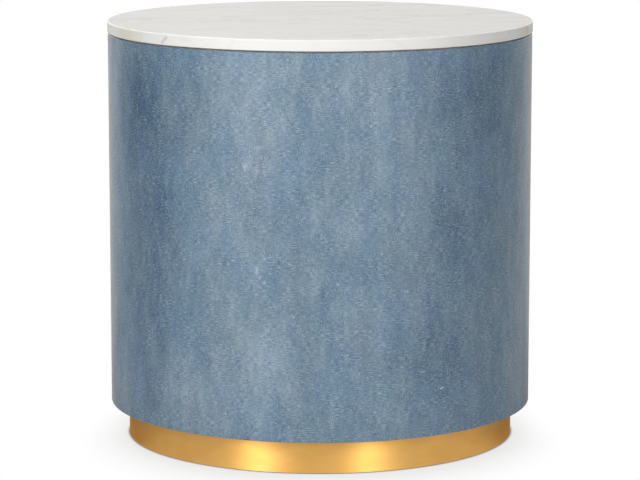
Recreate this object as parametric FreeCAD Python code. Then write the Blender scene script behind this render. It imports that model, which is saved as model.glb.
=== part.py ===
"""Drum side table: a stone disc on a linen-wrapped drum, on a recessed plinth with a metal band.

Frame: millimetres, +Z up, origin on the floor under the middle of the drum. The front faces -Y.
The seams of the wrap and of the band are at the back, +Y.

The drum is two discs of board on eight struts, stiffened by a notched ring half way up and closed
by two layers of bent plywood. The wrap is glued over the plywood, snipped at both ends and turned
in. The plinth is two rings of board with the band round them, and four levellers screwed up into
it. The stone lies on soft bumpers, which leave a thin dark gap under it.

Each function returns one sub-part, and main() writes each to parts/NODE.step.
"""

import FreeCAD
import Part
import math
import os

# ---- driving dimensions, in millimetres ----

OVERALL_HEIGHT = 503.0
DRUM_DIAMETER = 508.0

STONE_THICKNESS = 13.0
STONE_OVERHANG = 0.5  # past the drum, all round
STONE_TOP_EASE = 1.5  # radius of the polished top arris
STONE_UNDER_BEVEL = 0.8
SHADOW_GAP = 1.5  # between the stone and the wrapped edge

PLINTH_RECESS = 21.5  # from the drum's face in to the band
PLINTH_REVEAL = 40.5  # band that shows under the drum
FLOOR_CLEARANCE = 1.5  # under the band, with the levellers screwed right in

WRAP_THICKNESS = 0.8
WRAP_EDGE_RADIUS = 1.2
WRAP_TURN_IN = 19.0  # width of the margin glued down over each end of the drum
SNIP_COUNT = 24  # cuts in each margin, which let it lie flat
SNIP_WIDTH = 0.4
SNIP_MARGIN = 2.0  # left uncut at the drum's edge
PLY_THICKNESS = 5.0  # each of two layers
SEAM_GAP = 0.5  # between the butted ends of a layer of plywood
WRAP_SEAM_GAP = 0.3
PANEL_THICKNESS = 18.0  # the drum's two discs and its ring

STRUT_COUNT = 8
STRUT_WIDTH = 30.0
STRUT_EDGE_BREAK = 2.0
STRUT_GLUE_GAP = 0.7  # between a strut's flat face and the curved plywood
FORMER_WIDTH = 43.0
NOTCH_CLEARANCE = 0.3

BAND_THICKNESS = 1.0
BAND_SEAM_GAP = 0.3
BAND_TOP_GAP = 0.3  # between the band and the board over it
UPPER_RING_THICKNESS = 22.0
LOWER_RING_THICKNESS = 19.0
PLINTH_RING_WIDTH = 61.5

BUMPER_DIAMETER = 22.0
BUMPER_COUNT = 6  # round the edge, and one more in the middle
BUMPER_CIRCLE_RADIUS = 195.0

SCREW_HEAD_RADIUS = 4.5
SCREW_HEAD_DEPTH = 3.6
SCREW_SHANK_RADIUS = 2.2
STRUT_SCREW_LENGTH = 60.0
PLINTH_SCREW_LENGTH = 35.0
PLINTH_SCREW_COUNT = 4
PLINTH_SCREW_CIRCLE_RADIUS = 210.0

LEVELLER_COUNT = 4
LEVELLER_CIRCLE_RADIUS = 200.0
RECESS_HALF_WIDTH = 20.0  # routed for each foot, and open to the hollow for a spanner
FOOT_RADIUS = 16.0
FOOT_HEIGHT = 5.0
FOOT_SOLE_RADIUS = 14.5  # the sole is narrower, so its rim doesn't catch
FOOT_RIM_BREAK = 1.0
STUD_RADIUS = 4.0  # M8, drawn without its thread
STUD_LENGTH = 24.0
STUD_TIP_BREAK = 1.0
HEXAGON_ACROSS_FLATS = 13.0
HEXAGON_HEIGHT = 3.5
PIVOT_RADIUS = 3.5
PIVOT_FLANGE_RADIUS = 5.0
PIVOT_FLANGE_HEIGHT = 1.0
PIVOT_FLANGE_BOTTOM = 1.9
RUNNING_GAP = 0.1  # round and above what turns
THREAD_GAP = 0.05  # between the stud and its insert, on the radius
STOP_GAP = 0.2  # between the hexagon and the insert, screwed right in
INSERT_FLANGE_RADIUS = 11.0
INSERT_FLANGE_THICKNESS = 1.2
INSERT_BARREL_RADIUS = 5.5
INSERT_BARREL_LENGTH = 14.0
STUD_HOLE_DEPTH = 28.0  # above the insert's flange

# ---- levels and radii worked out from them ----

DRUM_RADIUS = DRUM_DIAMETER / 2
STONE_RADIUS = DRUM_RADIUS + STONE_OVERHANG
PLINTH_RADIUS = DRUM_RADIUS - PLINTH_RECESS

STONE_BOTTOM = OVERALL_HEIGHT - STONE_THICKNESS
DRUM_TOP = STONE_BOTTOM - SHADOW_GAP
DRUM_BOTTOM = FLOOR_CLEARANCE + PLINTH_REVEAL

CARCASS_TOP = DRUM_TOP - WRAP_THICKNESS
CARCASS_BOTTOM = DRUM_BOTTOM + WRAP_THICKNESS
OUTER_PLY_RADIUS = DRUM_RADIUS - WRAP_THICKNESS
INNER_PLY_RADIUS = OUTER_PLY_RADIUS - PLY_THICKNESS
PANEL_RADIUS = INNER_PLY_RADIUS - PLY_THICKNESS
SUBTOP_BOTTOM = CARCASS_TOP - PANEL_THICKNESS
FLOOR_PANEL_TOP = CARCASS_BOTTOM + PANEL_THICKNESS
STRUT_CENTRE_RADIUS = PANEL_RADIUS - STRUT_GLUE_GAP - STRUT_WIDTH / 2

CORE_RADIUS = PLINTH_RADIUS - BAND_THICKNESS
UPPER_RING_BOTTOM = CARCASS_BOTTOM - UPPER_RING_THICKNESS
LOWER_RING_BOTTOM = UPPER_RING_BOTTOM - LOWER_RING_THICKNESS

HEXAGON_BOTTOM = FOOT_HEIGHT + RUNNING_GAP
HEXAGON_TOP = HEXAGON_BOTTOM + HEXAGON_HEIGHT
INSERT_FLANGE_BOTTOM = HEXAGON_TOP + STOP_GAP
INSERT_BARREL_BOTTOM = INSERT_FLANGE_BOTTOM + INSERT_FLANGE_THICKNESS

BACK = 90.0  # the direction of +Y, in degrees from +X
FRONT = 270.0
AXIS = FreeCAD.Vector(0, 0, 1)
ORIGIN = FreeCAD.Vector(0, 0, 0)


# ---- helpers ----


def disc(radius, bottom, top):
    """A cylinder round the table's axis."""
    return Part.makeCylinder(radius, top - bottom, FreeCAD.Vector(0, 0, bottom))


def ring(outer, inner, bottom, top):
    """A flat ring or tube round the table's axis."""
    return disc(outer, bottom, top).cut(disc(inner, bottom, top))


def angles(count, first):
    """count directions in degrees, evenly spaced round the table."""
    return [first + 360.0 * n / count for n in range(count)]


def place(shape, radius, angle):
    """A copy of a shape drawn at the origin, moved out along +X and turned round the table."""
    moved = shape.copy()
    moved.translate(FreeCAD.Vector(radius, 0, 0))
    moved.rotate(ORIGIN, AXIS, angle)
    return moved


def half_section(*corners):
    """A closed face in the XZ plane from (radius, level) corners."""
    points = [FreeCAD.Vector(radius, 0, level) for radius, level in corners]
    return Part.Face(Part.makePolygon(points + points[:1]))


def turned(*corners):
    """The solid that (radius, level) corners sweep in a full turn."""
    return half_section(*corners).revolve(ORIGIN, AXIS, 360)


def bent_round(section, gap, gap_radius, gap_direction):
    """A section bent round the axis into a ring whose ends butt with a small gap."""
    gap_angle = math.degrees(gap / gap_radius)
    bent = section.revolve(ORIGIN, AXIS, 360 - gap_angle)
    bent.rotate(ORIGIN, AXIS, gap_direction + gap_angle / 2)
    return bent


def bent_sheet(outer, thickness, bottom, top, gap, gap_direction):
    """A plain strip of sheet bent into a ring."""
    inner = outer - thickness
    section = half_section((inner, bottom), (outer, bottom), (outer, top), (inner, top))
    return bent_round(section, gap, outer, gap_direction)


def round_the_plinth(shape):
    """A copy, at each leveller's place, of a shape drawn at the origin."""
    return [place(shape, LEVELLER_CIRCLE_RADIUS, a) for a in angles(LEVELLER_COUNT, BACK)]


# ---- fasteners ----


def screw(length):
    """A countersunk screw for board, pointing down, with its head flush at the origin."""
    return turned(
        (0, 0),
        (SCREW_HEAD_RADIUS, 0),
        (SCREW_SHANK_RADIUS, -SCREW_HEAD_DEPTH),
        (SCREW_SHANK_RADIUS, -length),
        (0, -length),
    )


def strut_screws_top():
    """One screw down through the sub-top into each strut."""
    single = screw(STRUT_SCREW_LENGTH)
    single.translate(FreeCAD.Vector(0, 0, CARCASS_TOP))
    return [place(single, STRUT_CENTRE_RADIUS, a) for a in angles(STRUT_COUNT, BACK)]


def strut_screws_bottom():
    """One screw up through the drum's floor into each strut."""
    single = screw(STRUT_SCREW_LENGTH)
    single.rotate(ORIGIN, FreeCAD.Vector(1, 0, 0), 180)
    single.translate(FreeCAD.Vector(0, 0, CARCASS_BOTTOM))
    return [place(single, STRUT_CENTRE_RADIUS, a) for a in angles(STRUT_COUNT, BACK)]


def plinth_screws():
    """Screws down through the drum's floor into the plinth, between the struts."""
    single = screw(PLINTH_SCREW_LENGTH)
    single.translate(FreeCAD.Vector(0, 0, FLOOR_PANEL_TOP))
    first = BACK + 180.0 / PLINTH_SCREW_COUNT
    return [place(single, PLINTH_SCREW_CIRCLE_RADIUS, a) for a in angles(PLINTH_SCREW_COUNT, first)]


# ---- stone top ----


def marble_top():
    """The stone disc, with a polished round on its top arris and a small bevel below."""
    slab = disc(STONE_RADIUS, STONE_BOTTOM, OVERALL_HEIGHT)
    top_rim = [e for e in slab.Edges if e.BoundBox.ZMin > OVERALL_HEIGHT - 0.1]
    slab = slab.makeFillet(STONE_TOP_EASE, top_rim)
    under_rim = [e for e in slab.Edges if e.BoundBox.ZMax < STONE_BOTTOM + 0.1]
    return [slab.makeChamfer(STONE_UNDER_BEVEL, under_rim)]


def marble_bumpers():
    """Clear soft discs that carry the stone and keep it off the wrapped edge."""
    single = disc(BUMPER_DIAMETER / 2, CARCASS_TOP, STONE_BOTTOM)
    edge = [place(single, BUMPER_CIRCLE_RADIUS, a) for a in angles(BUMPER_COUNT, 0)]
    return [single] + edge


# ---- drum ----


def subtop_panel():
    """The disc of board that closes the drum under the stone."""
    panel = disc(PANEL_RADIUS, SUBTOP_BOTTOM, CARCASS_TOP)
    return [panel.cut(strut_screws_top())]


def bottom_panel():
    """The disc of board that is the drum's floor."""
    panel = disc(PANEL_RADIUS, CARCASS_BOTTOM, FLOOR_PANEL_TOP)
    return [panel.cut(strut_screws_bottom() + plinth_screws())]


def strut_blank():
    """A square strut from floor to sub-top, with its long edges broken, drawn at the origin."""
    height = SUBTOP_BOTTOM - FLOOR_PANEL_TOP
    corner = FreeCAD.Vector(-STRUT_WIDTH / 2, -STRUT_WIDTH / 2, FLOOR_PANEL_TOP)
    blank = Part.makeBox(STRUT_WIDTH, STRUT_WIDTH, height, corner)
    long_edges = [e for e in blank.Edges if e.BoundBox.ZLength > height / 2]
    return blank.makeChamfer(STRUT_EDGE_BREAK, long_edges)


def struts():
    """The uprights, each with the pilot holes of its two screws."""
    blank = place(strut_blank(), STRUT_CENTRE_RADIUS, 0)
    pilots = strut_screws_top() + strut_screws_bottom()
    whole = [place(blank, 0, a) for a in angles(STRUT_COUNT, BACK)]
    return [upright.cut(pilots) for upright in whole]


def mid_former():
    """The ring half way up, notched round the struts, that keeps the plywood round."""
    middle = (FLOOR_PANEL_TOP + SUBTOP_BOTTOM) / 2
    bottom, top = middle - PANEL_THICKNESS / 2, middle + PANEL_THICKNESS / 2
    former = ring(PANEL_RADIUS, PANEL_RADIUS - FORMER_WIDTH, bottom, top)
    width = STRUT_WIDTH + 2 * NOTCH_CLEARANCE
    corner = FreeCAD.Vector(-width / 2, -width / 2, bottom)
    notch = Part.makeBox(width + PANEL_RADIUS, width, PANEL_THICKNESS, corner)
    notches = [place(notch, STRUT_CENTRE_RADIUS, a) for a in angles(STRUT_COUNT, BACK)]
    return [former.cut(notches)]


def outer_ply_skin():
    """The outer layer of bent plywood, jointed on the strut at the back."""
    return [bent_sheet(OUTER_PLY_RADIUS, PLY_THICKNESS, CARCASS_BOTTOM, CARCASS_TOP, SEAM_GAP, BACK)]


def inner_ply_skin():
    """The inner layer, jointed at the front, so that the joints of the two don't meet."""
    return [bent_sheet(INNER_PLY_RADIUS, PLY_THICKNESS, CARCASS_BOTTOM, CARCASS_TOP, SEAM_GAP, FRONT)]


def snips():
    """What is cut out of the turned-in margins, at both ends of the drum."""
    height = DRUM_TOP - DRUM_BOTTOM
    corner = FreeCAD.Vector(-WRAP_TURN_IN, -SNIP_WIDTH / 2, DRUM_BOTTOM)
    through_both = Part.makeBox(WRAP_TURN_IN, SNIP_WIDTH, height, corner)
    first = BACK + 180.0 / SNIP_COUNT
    return [place(through_both, DRUM_RADIUS - SNIP_MARGIN, a) for a in angles(SNIP_COUNT, first)]


def linen_wrap():
    """The cloth over the plywood: one strip, turned in at both ends, with a butt seam at the back."""
    turn_in = DRUM_RADIUS - WRAP_TURN_IN
    straight = DRUM_RADIUS - WRAP_EDGE_RADIUS
    diagonal = DRUM_RADIUS - WRAP_EDGE_RADIUS * (1 - math.sqrt(0.5))
    low, high = DRUM_BOTTOM, DRUM_TOP

    def point(radius, level):
        return FreeCAD.Vector(radius, 0, level)

    def edge_arc(level, inwards):
        """The rounded arris at one end, from the end's face round to the outside."""
        middle = level + inwards * (DRUM_RADIUS - diagonal)
        finish = level + inwards * WRAP_EDGE_RADIUS
        return Part.Arc(point(straight, level), point(diagonal, middle), point(DRUM_RADIUS, finish))

    def line(*ends):
        return Part.LineSegment(point(*ends[0]), point(*ends[1]))

    inside = [
        (turn_in, high),
        (turn_in, CARCASS_TOP),
        (OUTER_PLY_RADIUS, CARCASS_TOP),
        (OUTER_PLY_RADIUS, CARCASS_BOTTOM),
        (turn_in, CARCASS_BOTTOM),
        (turn_in, low),
    ]
    outline = [line(a, b) for a, b in zip(inside, inside[1:])]
    outline += [
        line((turn_in, low), (straight, low)),
        edge_arc(low, 1),
        line((DRUM_RADIUS, low + WRAP_EDGE_RADIUS), (DRUM_RADIUS, high - WRAP_EDGE_RADIUS)),
        edge_arc(high, -1),
        line((straight, high), (turn_in, high)),
    ]
    edges = Part.sortEdges([piece.toShape() for piece in outline])[0]
    section = Part.Face(Part.Wire(edges))
    strip = bent_round(section, WRAP_SEAM_GAP, DRUM_RADIUS, BACK)
    return [strip.cut(snips())]


# ---- plinth ----


def leveller_recess():
    """A round-ended slot from the plinth's hollow, and the hole over it for insert and stud."""
    width, depth = 2 * RECESS_HALF_WIDTH, INSERT_BARREL_BOTTOM
    end = disc(RECESS_HALF_WIDTH, 0, depth)
    corner = FreeCAD.Vector(-PLINTH_RING_WIDTH, -RECESS_HALF_WIDTH, 0)
    run_in = Part.makeBox(PLINTH_RING_WIDTH, width, depth, corner)
    hole = disc(INSERT_BARREL_RADIUS, 0, depth + STUD_HOLE_DEPTH)
    return end.fuse([run_in, hole])


def plinth_ring_upper():
    """The thicker ring of board, screwed up against the drum's floor."""
    board = ring(CORE_RADIUS, CORE_RADIUS - PLINTH_RING_WIDTH, UPPER_RING_BOTTOM, CARCASS_BOTTOM)
    return [board.cut(round_the_plinth(leveller_recess()) + plinth_screws())]


def plinth_ring_lower():
    """The ring glued under it, with a recess for each leveller."""
    board = ring(CORE_RADIUS, CORE_RADIUS - PLINTH_RING_WIDTH, LOWER_RING_BOTTOM, UPPER_RING_BOTTOM)
    return [board.cut(round_the_plinth(leveller_recess()))]


def plinth_band():
    """The strip of sheet metal glued round both rings, with a butt seam at the back."""
    top = CARCASS_BOTTOM - BAND_TOP_GAP
    return [bent_sheet(PLINTH_RADIUS, BAND_THICKNESS, FLOOR_CLEARANCE, top, BAND_SEAM_GAP, BACK)]


# ---- levellers ----


def leveller_insert():
    """The flanged, threaded insert that a leveller runs in, drawn at the origin."""
    bore = STUD_RADIUS + THREAD_GAP
    flange_bottom, barrel_bottom = INSERT_FLANGE_BOTTOM, INSERT_BARREL_BOTTOM
    return turned(
        (bore, flange_bottom),
        (INSERT_FLANGE_RADIUS, flange_bottom),
        (INSERT_FLANGE_RADIUS, barrel_bottom),
        (INSERT_BARREL_RADIUS, barrel_bottom),
        (INSERT_BARREL_RADIUS, barrel_bottom + INSERT_BARREL_LENGTH),
        (bore, barrel_bottom + INSERT_BARREL_LENGTH),
    )


def leveller_stud():
    """The stud: shank, spanner hexagon, and a flanged pivot that holds the foot on."""
    shank_top = HEXAGON_TOP + STUD_LENGTH
    shank = turned(
        (0, HEXAGON_TOP),
        (STUD_RADIUS, HEXAGON_TOP),
        (STUD_RADIUS, shank_top - STUD_TIP_BREAK),
        (STUD_RADIUS - STUD_TIP_BREAK, shank_top),
        (0, shank_top),
    )
    corner_radius = HEXAGON_ACROSS_FLATS / math.sqrt(3)
    corners = [
        FreeCAD.Vector(corner_radius * math.cos(a), corner_radius * math.sin(a), HEXAGON_BOTTOM)
        for a in (math.radians(d) for d in angles(6, 0))
    ]
    outline = Part.Face(Part.makePolygon(corners + corners[:1]))
    hexagon = outline.extrude(FreeCAD.Vector(0, 0, HEXAGON_HEIGHT))
    flange_top = PIVOT_FLANGE_BOTTOM + PIVOT_FLANGE_HEIGHT
    pivot = turned(
        (0, PIVOT_FLANGE_BOTTOM),
        (PIVOT_FLANGE_RADIUS, PIVOT_FLANGE_BOTTOM),
        (PIVOT_FLANGE_RADIUS, flange_top),
        (PIVOT_RADIUS, flange_top),
        (PIVOT_RADIUS, HEXAGON_BOTTOM),
        (0, HEXAGON_BOTTOM),
    )
    return shank.fuse([hexagon, pivot]).removeSplitter()


def leveller_foot():
    """The moulded foot, closed round the stud's pivot so that it stays put while the stud turns."""
    flange_top = PIVOT_FLANGE_BOTTOM + PIVOT_FLANGE_HEIGHT
    cavity_radius = PIVOT_FLANGE_RADIUS + RUNNING_GAP
    neck_radius = PIVOT_RADIUS + RUNNING_GAP
    return turned(
        (0, 0),
        (FOOT_SOLE_RADIUS, 0),
        (FOOT_RADIUS, FOOT_RADIUS - FOOT_SOLE_RADIUS),
        (FOOT_RADIUS, FOOT_HEIGHT - FOOT_RIM_BREAK),
        (FOOT_RADIUS - FOOT_RIM_BREAK, FOOT_HEIGHT),
        (neck_radius, FOOT_HEIGHT),
        (neck_radius, flange_top + RUNNING_GAP),
        (cavity_radius, flange_top + RUNNING_GAP),
        (cavity_radius, PIVOT_FLANGE_BOTTOM - RUNNING_GAP),
        (0, PIVOT_FLANGE_BOTTOM - RUNNING_GAP),
    )


# ---- output ----


def write(node, solids):
    """Writes one sub-part, of one solid or several, after checking that each is sound."""
    for solid in solids:
        if not solid.isValid() or len(solid.Solids) != 1 or solid.Volume <= 0:
            raise ValueError(f"{node} has a piece that is not one valid solid")
    whole = [solid.Solids[0] for solid in solids]
    shape = whole[0] if len(whole) == 1 else Part.makeCompound(whole)
    shape.exportStep(f"parts/{node}.step")
    print(f"{node}: {len(whole)} solid(s), {shape.Volume / 1000:.1f} cm3")


def write_each(node, solids):
    """Writes equal sub-parts as separate, numbered nodes."""
    for number, solid in enumerate(solids, start=1):
        write(f"{node}_{number}", [solid])


def main():
    os.makedirs("parts", exist_ok=True)
    for sub_part in (
        marble_top,
        marble_bumpers,
        subtop_panel,
        bottom_panel,
        mid_former,
        outer_ply_skin,
        inner_ply_skin,
        linen_wrap,
        plinth_ring_upper,
        plinth_ring_lower,
        plinth_band,
        strut_screws_top,
        strut_screws_bottom,
        plinth_screws,
    ):
        write(sub_part.__name__, sub_part())
    write_each("strut", struts())
    write_each("leveller_insert", round_the_plinth(leveller_insert()))
    write_each("leveller_stud", round_the_plinth(leveller_stud()))
    write_each("leveller_foot", round_the_plinth(leveller_foot()))


main()
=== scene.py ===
"""Looks of the drum side table: a polished stone disc on a drum wrapped in washed linen, on a
recessed plinth with a satin brass band and four screw levellers.

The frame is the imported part's own: metres, +Z up, origin on the floor under the drum's middle. The
front faces -Y, and the seams of the cloth and of the band are at the back, +Y. Directions round the
table are angles from the front, positive towards +X.
"""

import logging
import math
from dataclasses import dataclass, field
from enum import Enum
from functools import cache
from typing import Any, Callable, Iterable, Sequence, Union

import bmesh
import bpy
import numpy as np
from mathutils import Matrix, Vector
from mathutils.geometry import tessellate_polygon


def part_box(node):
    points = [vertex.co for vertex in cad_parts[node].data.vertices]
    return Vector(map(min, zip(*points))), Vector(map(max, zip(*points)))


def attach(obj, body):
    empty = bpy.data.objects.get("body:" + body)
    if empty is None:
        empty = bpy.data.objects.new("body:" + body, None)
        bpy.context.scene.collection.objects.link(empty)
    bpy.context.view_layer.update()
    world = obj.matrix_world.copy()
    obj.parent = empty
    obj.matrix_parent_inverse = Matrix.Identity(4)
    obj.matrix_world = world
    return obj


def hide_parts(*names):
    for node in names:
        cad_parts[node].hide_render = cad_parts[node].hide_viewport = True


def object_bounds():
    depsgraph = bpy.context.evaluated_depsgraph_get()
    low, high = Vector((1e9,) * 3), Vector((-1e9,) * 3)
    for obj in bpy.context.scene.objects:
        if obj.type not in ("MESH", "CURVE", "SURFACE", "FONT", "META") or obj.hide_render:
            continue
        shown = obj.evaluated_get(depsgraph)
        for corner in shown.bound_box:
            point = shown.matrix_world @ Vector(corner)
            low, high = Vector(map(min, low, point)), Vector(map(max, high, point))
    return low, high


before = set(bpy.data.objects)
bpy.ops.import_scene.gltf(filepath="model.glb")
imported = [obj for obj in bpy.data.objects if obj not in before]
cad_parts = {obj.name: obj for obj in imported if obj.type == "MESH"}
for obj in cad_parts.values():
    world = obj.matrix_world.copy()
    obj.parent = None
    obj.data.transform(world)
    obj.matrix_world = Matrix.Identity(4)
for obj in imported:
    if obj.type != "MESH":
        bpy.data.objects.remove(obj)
CAD_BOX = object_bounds()

LOG = logging.getLogger("drum_table")
MM = 0.001
FULL_TURN = 2 * math.pi
RIGHT_ANGLE = math.pi / 2

Point = tuple[float, float]
Span = tuple[float, float]
Place = tuple[float, float, float]
Colour = tuple[float, float, float, float]
Key = Union[str, int]


def srgb(red: int, green: int, blue: int) -> Colour:
    """A colour as it is seen on a screen, in the linear values that shaders take.

    Args:
        red, green, blue: from 0 to 255.

    Returns:
        The linear colour, opaque.
    """
    def linear(value: int) -> float:
        """One channel."""
        share = value / 255
        return share / 12.92 if share <= 0.04045 else ((share + 0.055) / 1.055) ** 2.4

    return (linear(red), linear(green), linear(blue), 1.0)


WHITE = srgb(255, 255, 255)
BLACK = srgb(0, 0, 0)


# ---- node trees ----


def adds_math(operation: str, swapped: bool = False) -> Callable[["Wire", "Number"], "Wire"]:
    """Makes an operator of Wire.

    Args:
        operation: what its Math node does.
        swapped: whether the other side comes first, as it does in a reflected form.

    Returns:
        The method.
    """
    def method(self: "Wire", other: "Number") -> "Wire":
        """Adds the Math node."""
        return self.bench.math(operation, *((other, self) if swapped else (self, other)))

    return method


class Wire:
    """An output socket of numbers. Python's operators on it add Math nodes to its tree."""

    def __init__(self, bench: "Bench", socket: bpy.types.NodeSocket) -> None:
        """Wraps a socket of the tree that bench builds."""
        self.bench = bench
        self.socket = socket

    __add__ = __radd__ = adds_math("ADD")
    __mul__ = __rmul__ = adds_math("MULTIPLY")
    __sub__, __rsub__ = adds_math("SUBTRACT"), adds_math("SUBTRACT", swapped=True)
    __truediv__, __rtruediv__ = adds_math("DIVIDE"), adds_math("DIVIDE", swapped=True)

    def __neg__(self) -> "Wire":
        """-self"""
        return self * -1.0

    def __abs__(self) -> "Wire":
        """abs(self)"""
        return self.bench.math("ABSOLUTE", self)

    def rise(self, low: "Number", high: "Number") -> "Wire":
        """A smooth step: 0 up to low, 1 from high on. With low over high it falls instead."""
        return self.bench.out("ShaderNodeMapRange", {"interpolation_type": "SMOOTHSTEP"},
                              {"Value": self, "From Min": low, "From Max": high})


Number = Union[Wire, float]


class Bench:
    """Builds one node tree: a material's, the world's or a Geometry Nodes group."""

    def __init__(self, tree: bpy.types.NodeTree) -> None:
        """Takes the empty tree to build in."""
        self.tree = tree

    @classmethod
    def within(cls, owner: Union[bpy.types.Material, bpy.types.World]) -> "Bench":
        """Empties the tree of a material or a world.

        Args:
            owner: what has the tree.

        Returns:
            The bench for it.
        """
        owner.use_nodes = True
        owner.node_tree.nodes.clear()
        return cls(owner.node_tree)

    @staticmethod
    def pick(sockets: Iterable[bpy.types.NodeSocket], key: Key) -> bpy.types.NodeSocket:
        """The socket at a place, or the first one in use with a name."""
        named = (socket for socket in sockets if socket.name == key and socket.enabled)
        return sockets[key] if isinstance(key, int) else next(named)

    def node(self, kind: str, settings: dict[str, Any] | None = None,
             inputs: dict[Key, Any] | None = None) -> bpy.types.Node:
        """Adds a node.

        Args:
            kind: the node's type name.
            settings: its own settings, set first. "stops" is a ramp's list of (place, colour).
            inputs: values or links for its sockets, by name or place.

        Returns:
            The node.
        """
        made = self.tree.nodes.new(kind)
        for name, value in (settings or {}).items():
            if name == "stops":
                self.set_stops(made.color_ramp, value)
            else:
                setattr(made, name, value)
        for key, value in (inputs or {}).items():
            socket = self.pick(made.inputs, key)
            if isinstance(value, Wire):
                self.tree.links.new(value.socket, socket)
            else:
                socket.default_value = value
        return made

    @staticmethod
    def set_stops(ramp: bpy.types.ColorRamp, stops: Sequence[tuple[float, Colour]]) -> None:
        """Gives a ramp its stops.

        Args:
            ramp: the ramp.
            stops: (place, colour) pairs, in rising order.
        """
        for place, _ in stops[len(ramp.elements):]:
            ramp.elements.new(place)
        for element, (place, colour) in zip(ramp.elements, stops):
            element.position, element.color = place, colour

    def wire(self, made: bpy.types.Node, key: Key = 0) -> Wire:
        """One of a node's outputs."""
        return Wire(self, self.pick(made.outputs, key))

    def out(self, kind: str, settings: dict[str, Any] | None = None,
            inputs: dict[Key, Any] | None = None, key: Key = 0) -> Wire:
        """Adds a node as node() does, and gives one of its outputs."""
        return self.wire(self.node(kind, settings, inputs), key)

    def math(self, operation: str, *values: Number) -> Wire:
        """One Math node on up to three values."""
        return self.out("ShaderNodeMath", {"operation": operation}, dict(enumerate(values)))

    def length(self, *sides: Wire) -> Wire:
        """The length of a vector that has these sides."""
        first, *rest = (side * side for side in sides)
        return self.math("SQRT", sum(rest, first))

    def mix(self, factor: Number, first: Any, second: Any) -> Wire:
        """A colour between two colours."""
        return self.out("ShaderNodeMix", {"data_type": "RGBA"},
                        {"Factor": factor, "A": first, "B": second}, "Result")

    def blend(self, factor: Number, first: Wire, second: Wire) -> Wire:
        """A shader between two shaders."""
        return self.out("ShaderNodeMixShader", inputs={0: factor, 1: first, 2: second})

    def vector(self, x: Number, y: Number, z: Number) -> Wire:
        """A vector from three numbers."""
        return self.out("ShaderNodeCombineXYZ", inputs={"X": x, "Y": y, "Z": z})

    def parts(self, vector: Wire) -> tuple[Wire, Wire, Wire]:
        """A vector's three numbers."""
        made = self.node("ShaderNodeSeparateXYZ", inputs={"Vector": vector})
        return self.wire(made, "X"), self.wire(made, "Y"), self.wire(made, "Z")

    def noise(self, place: Wire, scale: float = 1.0, detail: float = 2.0, roughness: float = 0.5,
              distortion: float = 0.0) -> Wire:
        """Soft noise about 0.5.

        Args:
            place: where, as a vector.
            scale: its features in a unit of place.
            detail: how many finer layers lie on the first.
            roughness: how strong the finer layers are.
            distortion: how far it is twisted.

        Returns:
            The noise, from 0 to 1.
        """
        return self.out("ShaderNodeTexNoise", inputs={
            "Vector": place, "Scale": scale, "Detail": detail, "Roughness": roughness,
            "Distortion": distortion,
        })


class Surface:
    """A material: its shader, with what is the same all over, and the bench for what varies."""

    def __init__(self, name: str, constants: dict[str, Any]) -> None:
        """Makes the material.

        Args:
            name: the material's name.
            constants: values for the shader's own sockets.
        """
        self.bench = Bench.within(bpy.data.materials.new(name))
        self.shader = self.bench.node("ShaderNodeBsdfPrincipled", inputs=constants)
        surface = self.bench.wire(self.shader)
        self.bench.node("ShaderNodeOutputMaterial", inputs={"Surface": surface})

    def place(self) -> Wire:
        """Object coordinates, in metres in the row frame."""
        return self.bench.out("ShaderNodeTexCoord", key="Object")

    def noise(self, scale: float, detail: float, roughness: float = 0.5) -> Wire:
        """Noise with features 1 / scale metres across."""
        return self.bench.noise(self.place(), scale, detail, roughness)

    def grain(self, lines: Span, detail: float, distortion: float = 0.0) -> Wire:
        """Noise drawn out upwards.

        Args:
            lines: its features in a metre across the piece and up it.
            detail: how many finer layers lie on the first.
            distortion: how far it is twisted.

        Returns:
            The noise, from 0 to 1.
        """
        x, y, z = self.bench.parts(self.place())
        drawn_out = self.bench.vector(x * lines[0], y * lines[0], z * lines[1])
        return self.bench.noise(drawn_out, detail=detail, distortion=distortion)

    def dress(self, colour: Wire, height: Wire, depth: float,
              roughness: Wire | None = None) -> None:
        """Links what varies over the surface.

        Args:
            colour: the base colour.
            height: the relief, from 0 to 1.
            depth: how deep that relief is, in metres.
            roughness: the roughness, where it varies.
        """
        bump = self.bench.out("ShaderNodeBump", inputs={"Distance": depth, "Height": height})
        for name, wire in (("Base Color", colour), ("Normal", bump), ("Roughness", roughness)):
            if wire is not None:
                self.bench.tree.links.new(wire.socket, self.shader.inputs[name])


# ---- finishes ----


class Finish:
    """A surface finish. Its material is drawn once, and pieces share it.

    Scales and lines are features in a metre. Shading is the span of a pattern over which one colour
    gives way to the other. What dulls is added to the roughness.
    """

    slot: str

    def draw(self) -> None:
        """Makes the material."""
        raise NotImplementedError

    @property
    def title(self) -> str:
        """The material's name."""
        return f"{self.slot}_finish"

    def material(self) -> bpy.types.Material:
        """Draws the material at its first use.

        Returns:
            The material.
        """
        if self.title not in bpy.data.materials:
            self.draw()
        return bpy.data.materials[self.title]


@dataclass(frozen=True)
class DyeAndShadePatch:
    """A soft patch where the cloth is paler or deeper; the broad full-height ones at the drum's
    sides are painted shade. Places and reaches in metres.
    """

    along: float
    up: float
    reach_along: float
    reach_up: float
    tone: float


@dataclass(frozen=True)
class Mottle:
    """Noise on the cloth: its features in a metre each way, and the slice of the noise it is."""

    along: float
    up: float
    layer: float
    detail: float = 2.0
    roughness: float = 0.5
    rising: Span | None = None
    strength: float = 1.0

    def lay(self, along: Wire, up: Wire) -> Wire:
        """Lays the noise on the cloth.

        Args:
            along, up: metres along and up the cloth.

        Returns:
            The noise about 0, or where it rises a mask from 0 to 1, times its strength.
        """
        bench = along.bench
        place = bench.vector(along * self.along, up * self.up, self.layer)
        value = bench.noise(place, detail=self.detail, roughness=self.roughness) - 0.5
        if self.rising:
            value = value.rise(*self.rising)
        return value if self.strength == 1 else value * self.strength


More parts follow.
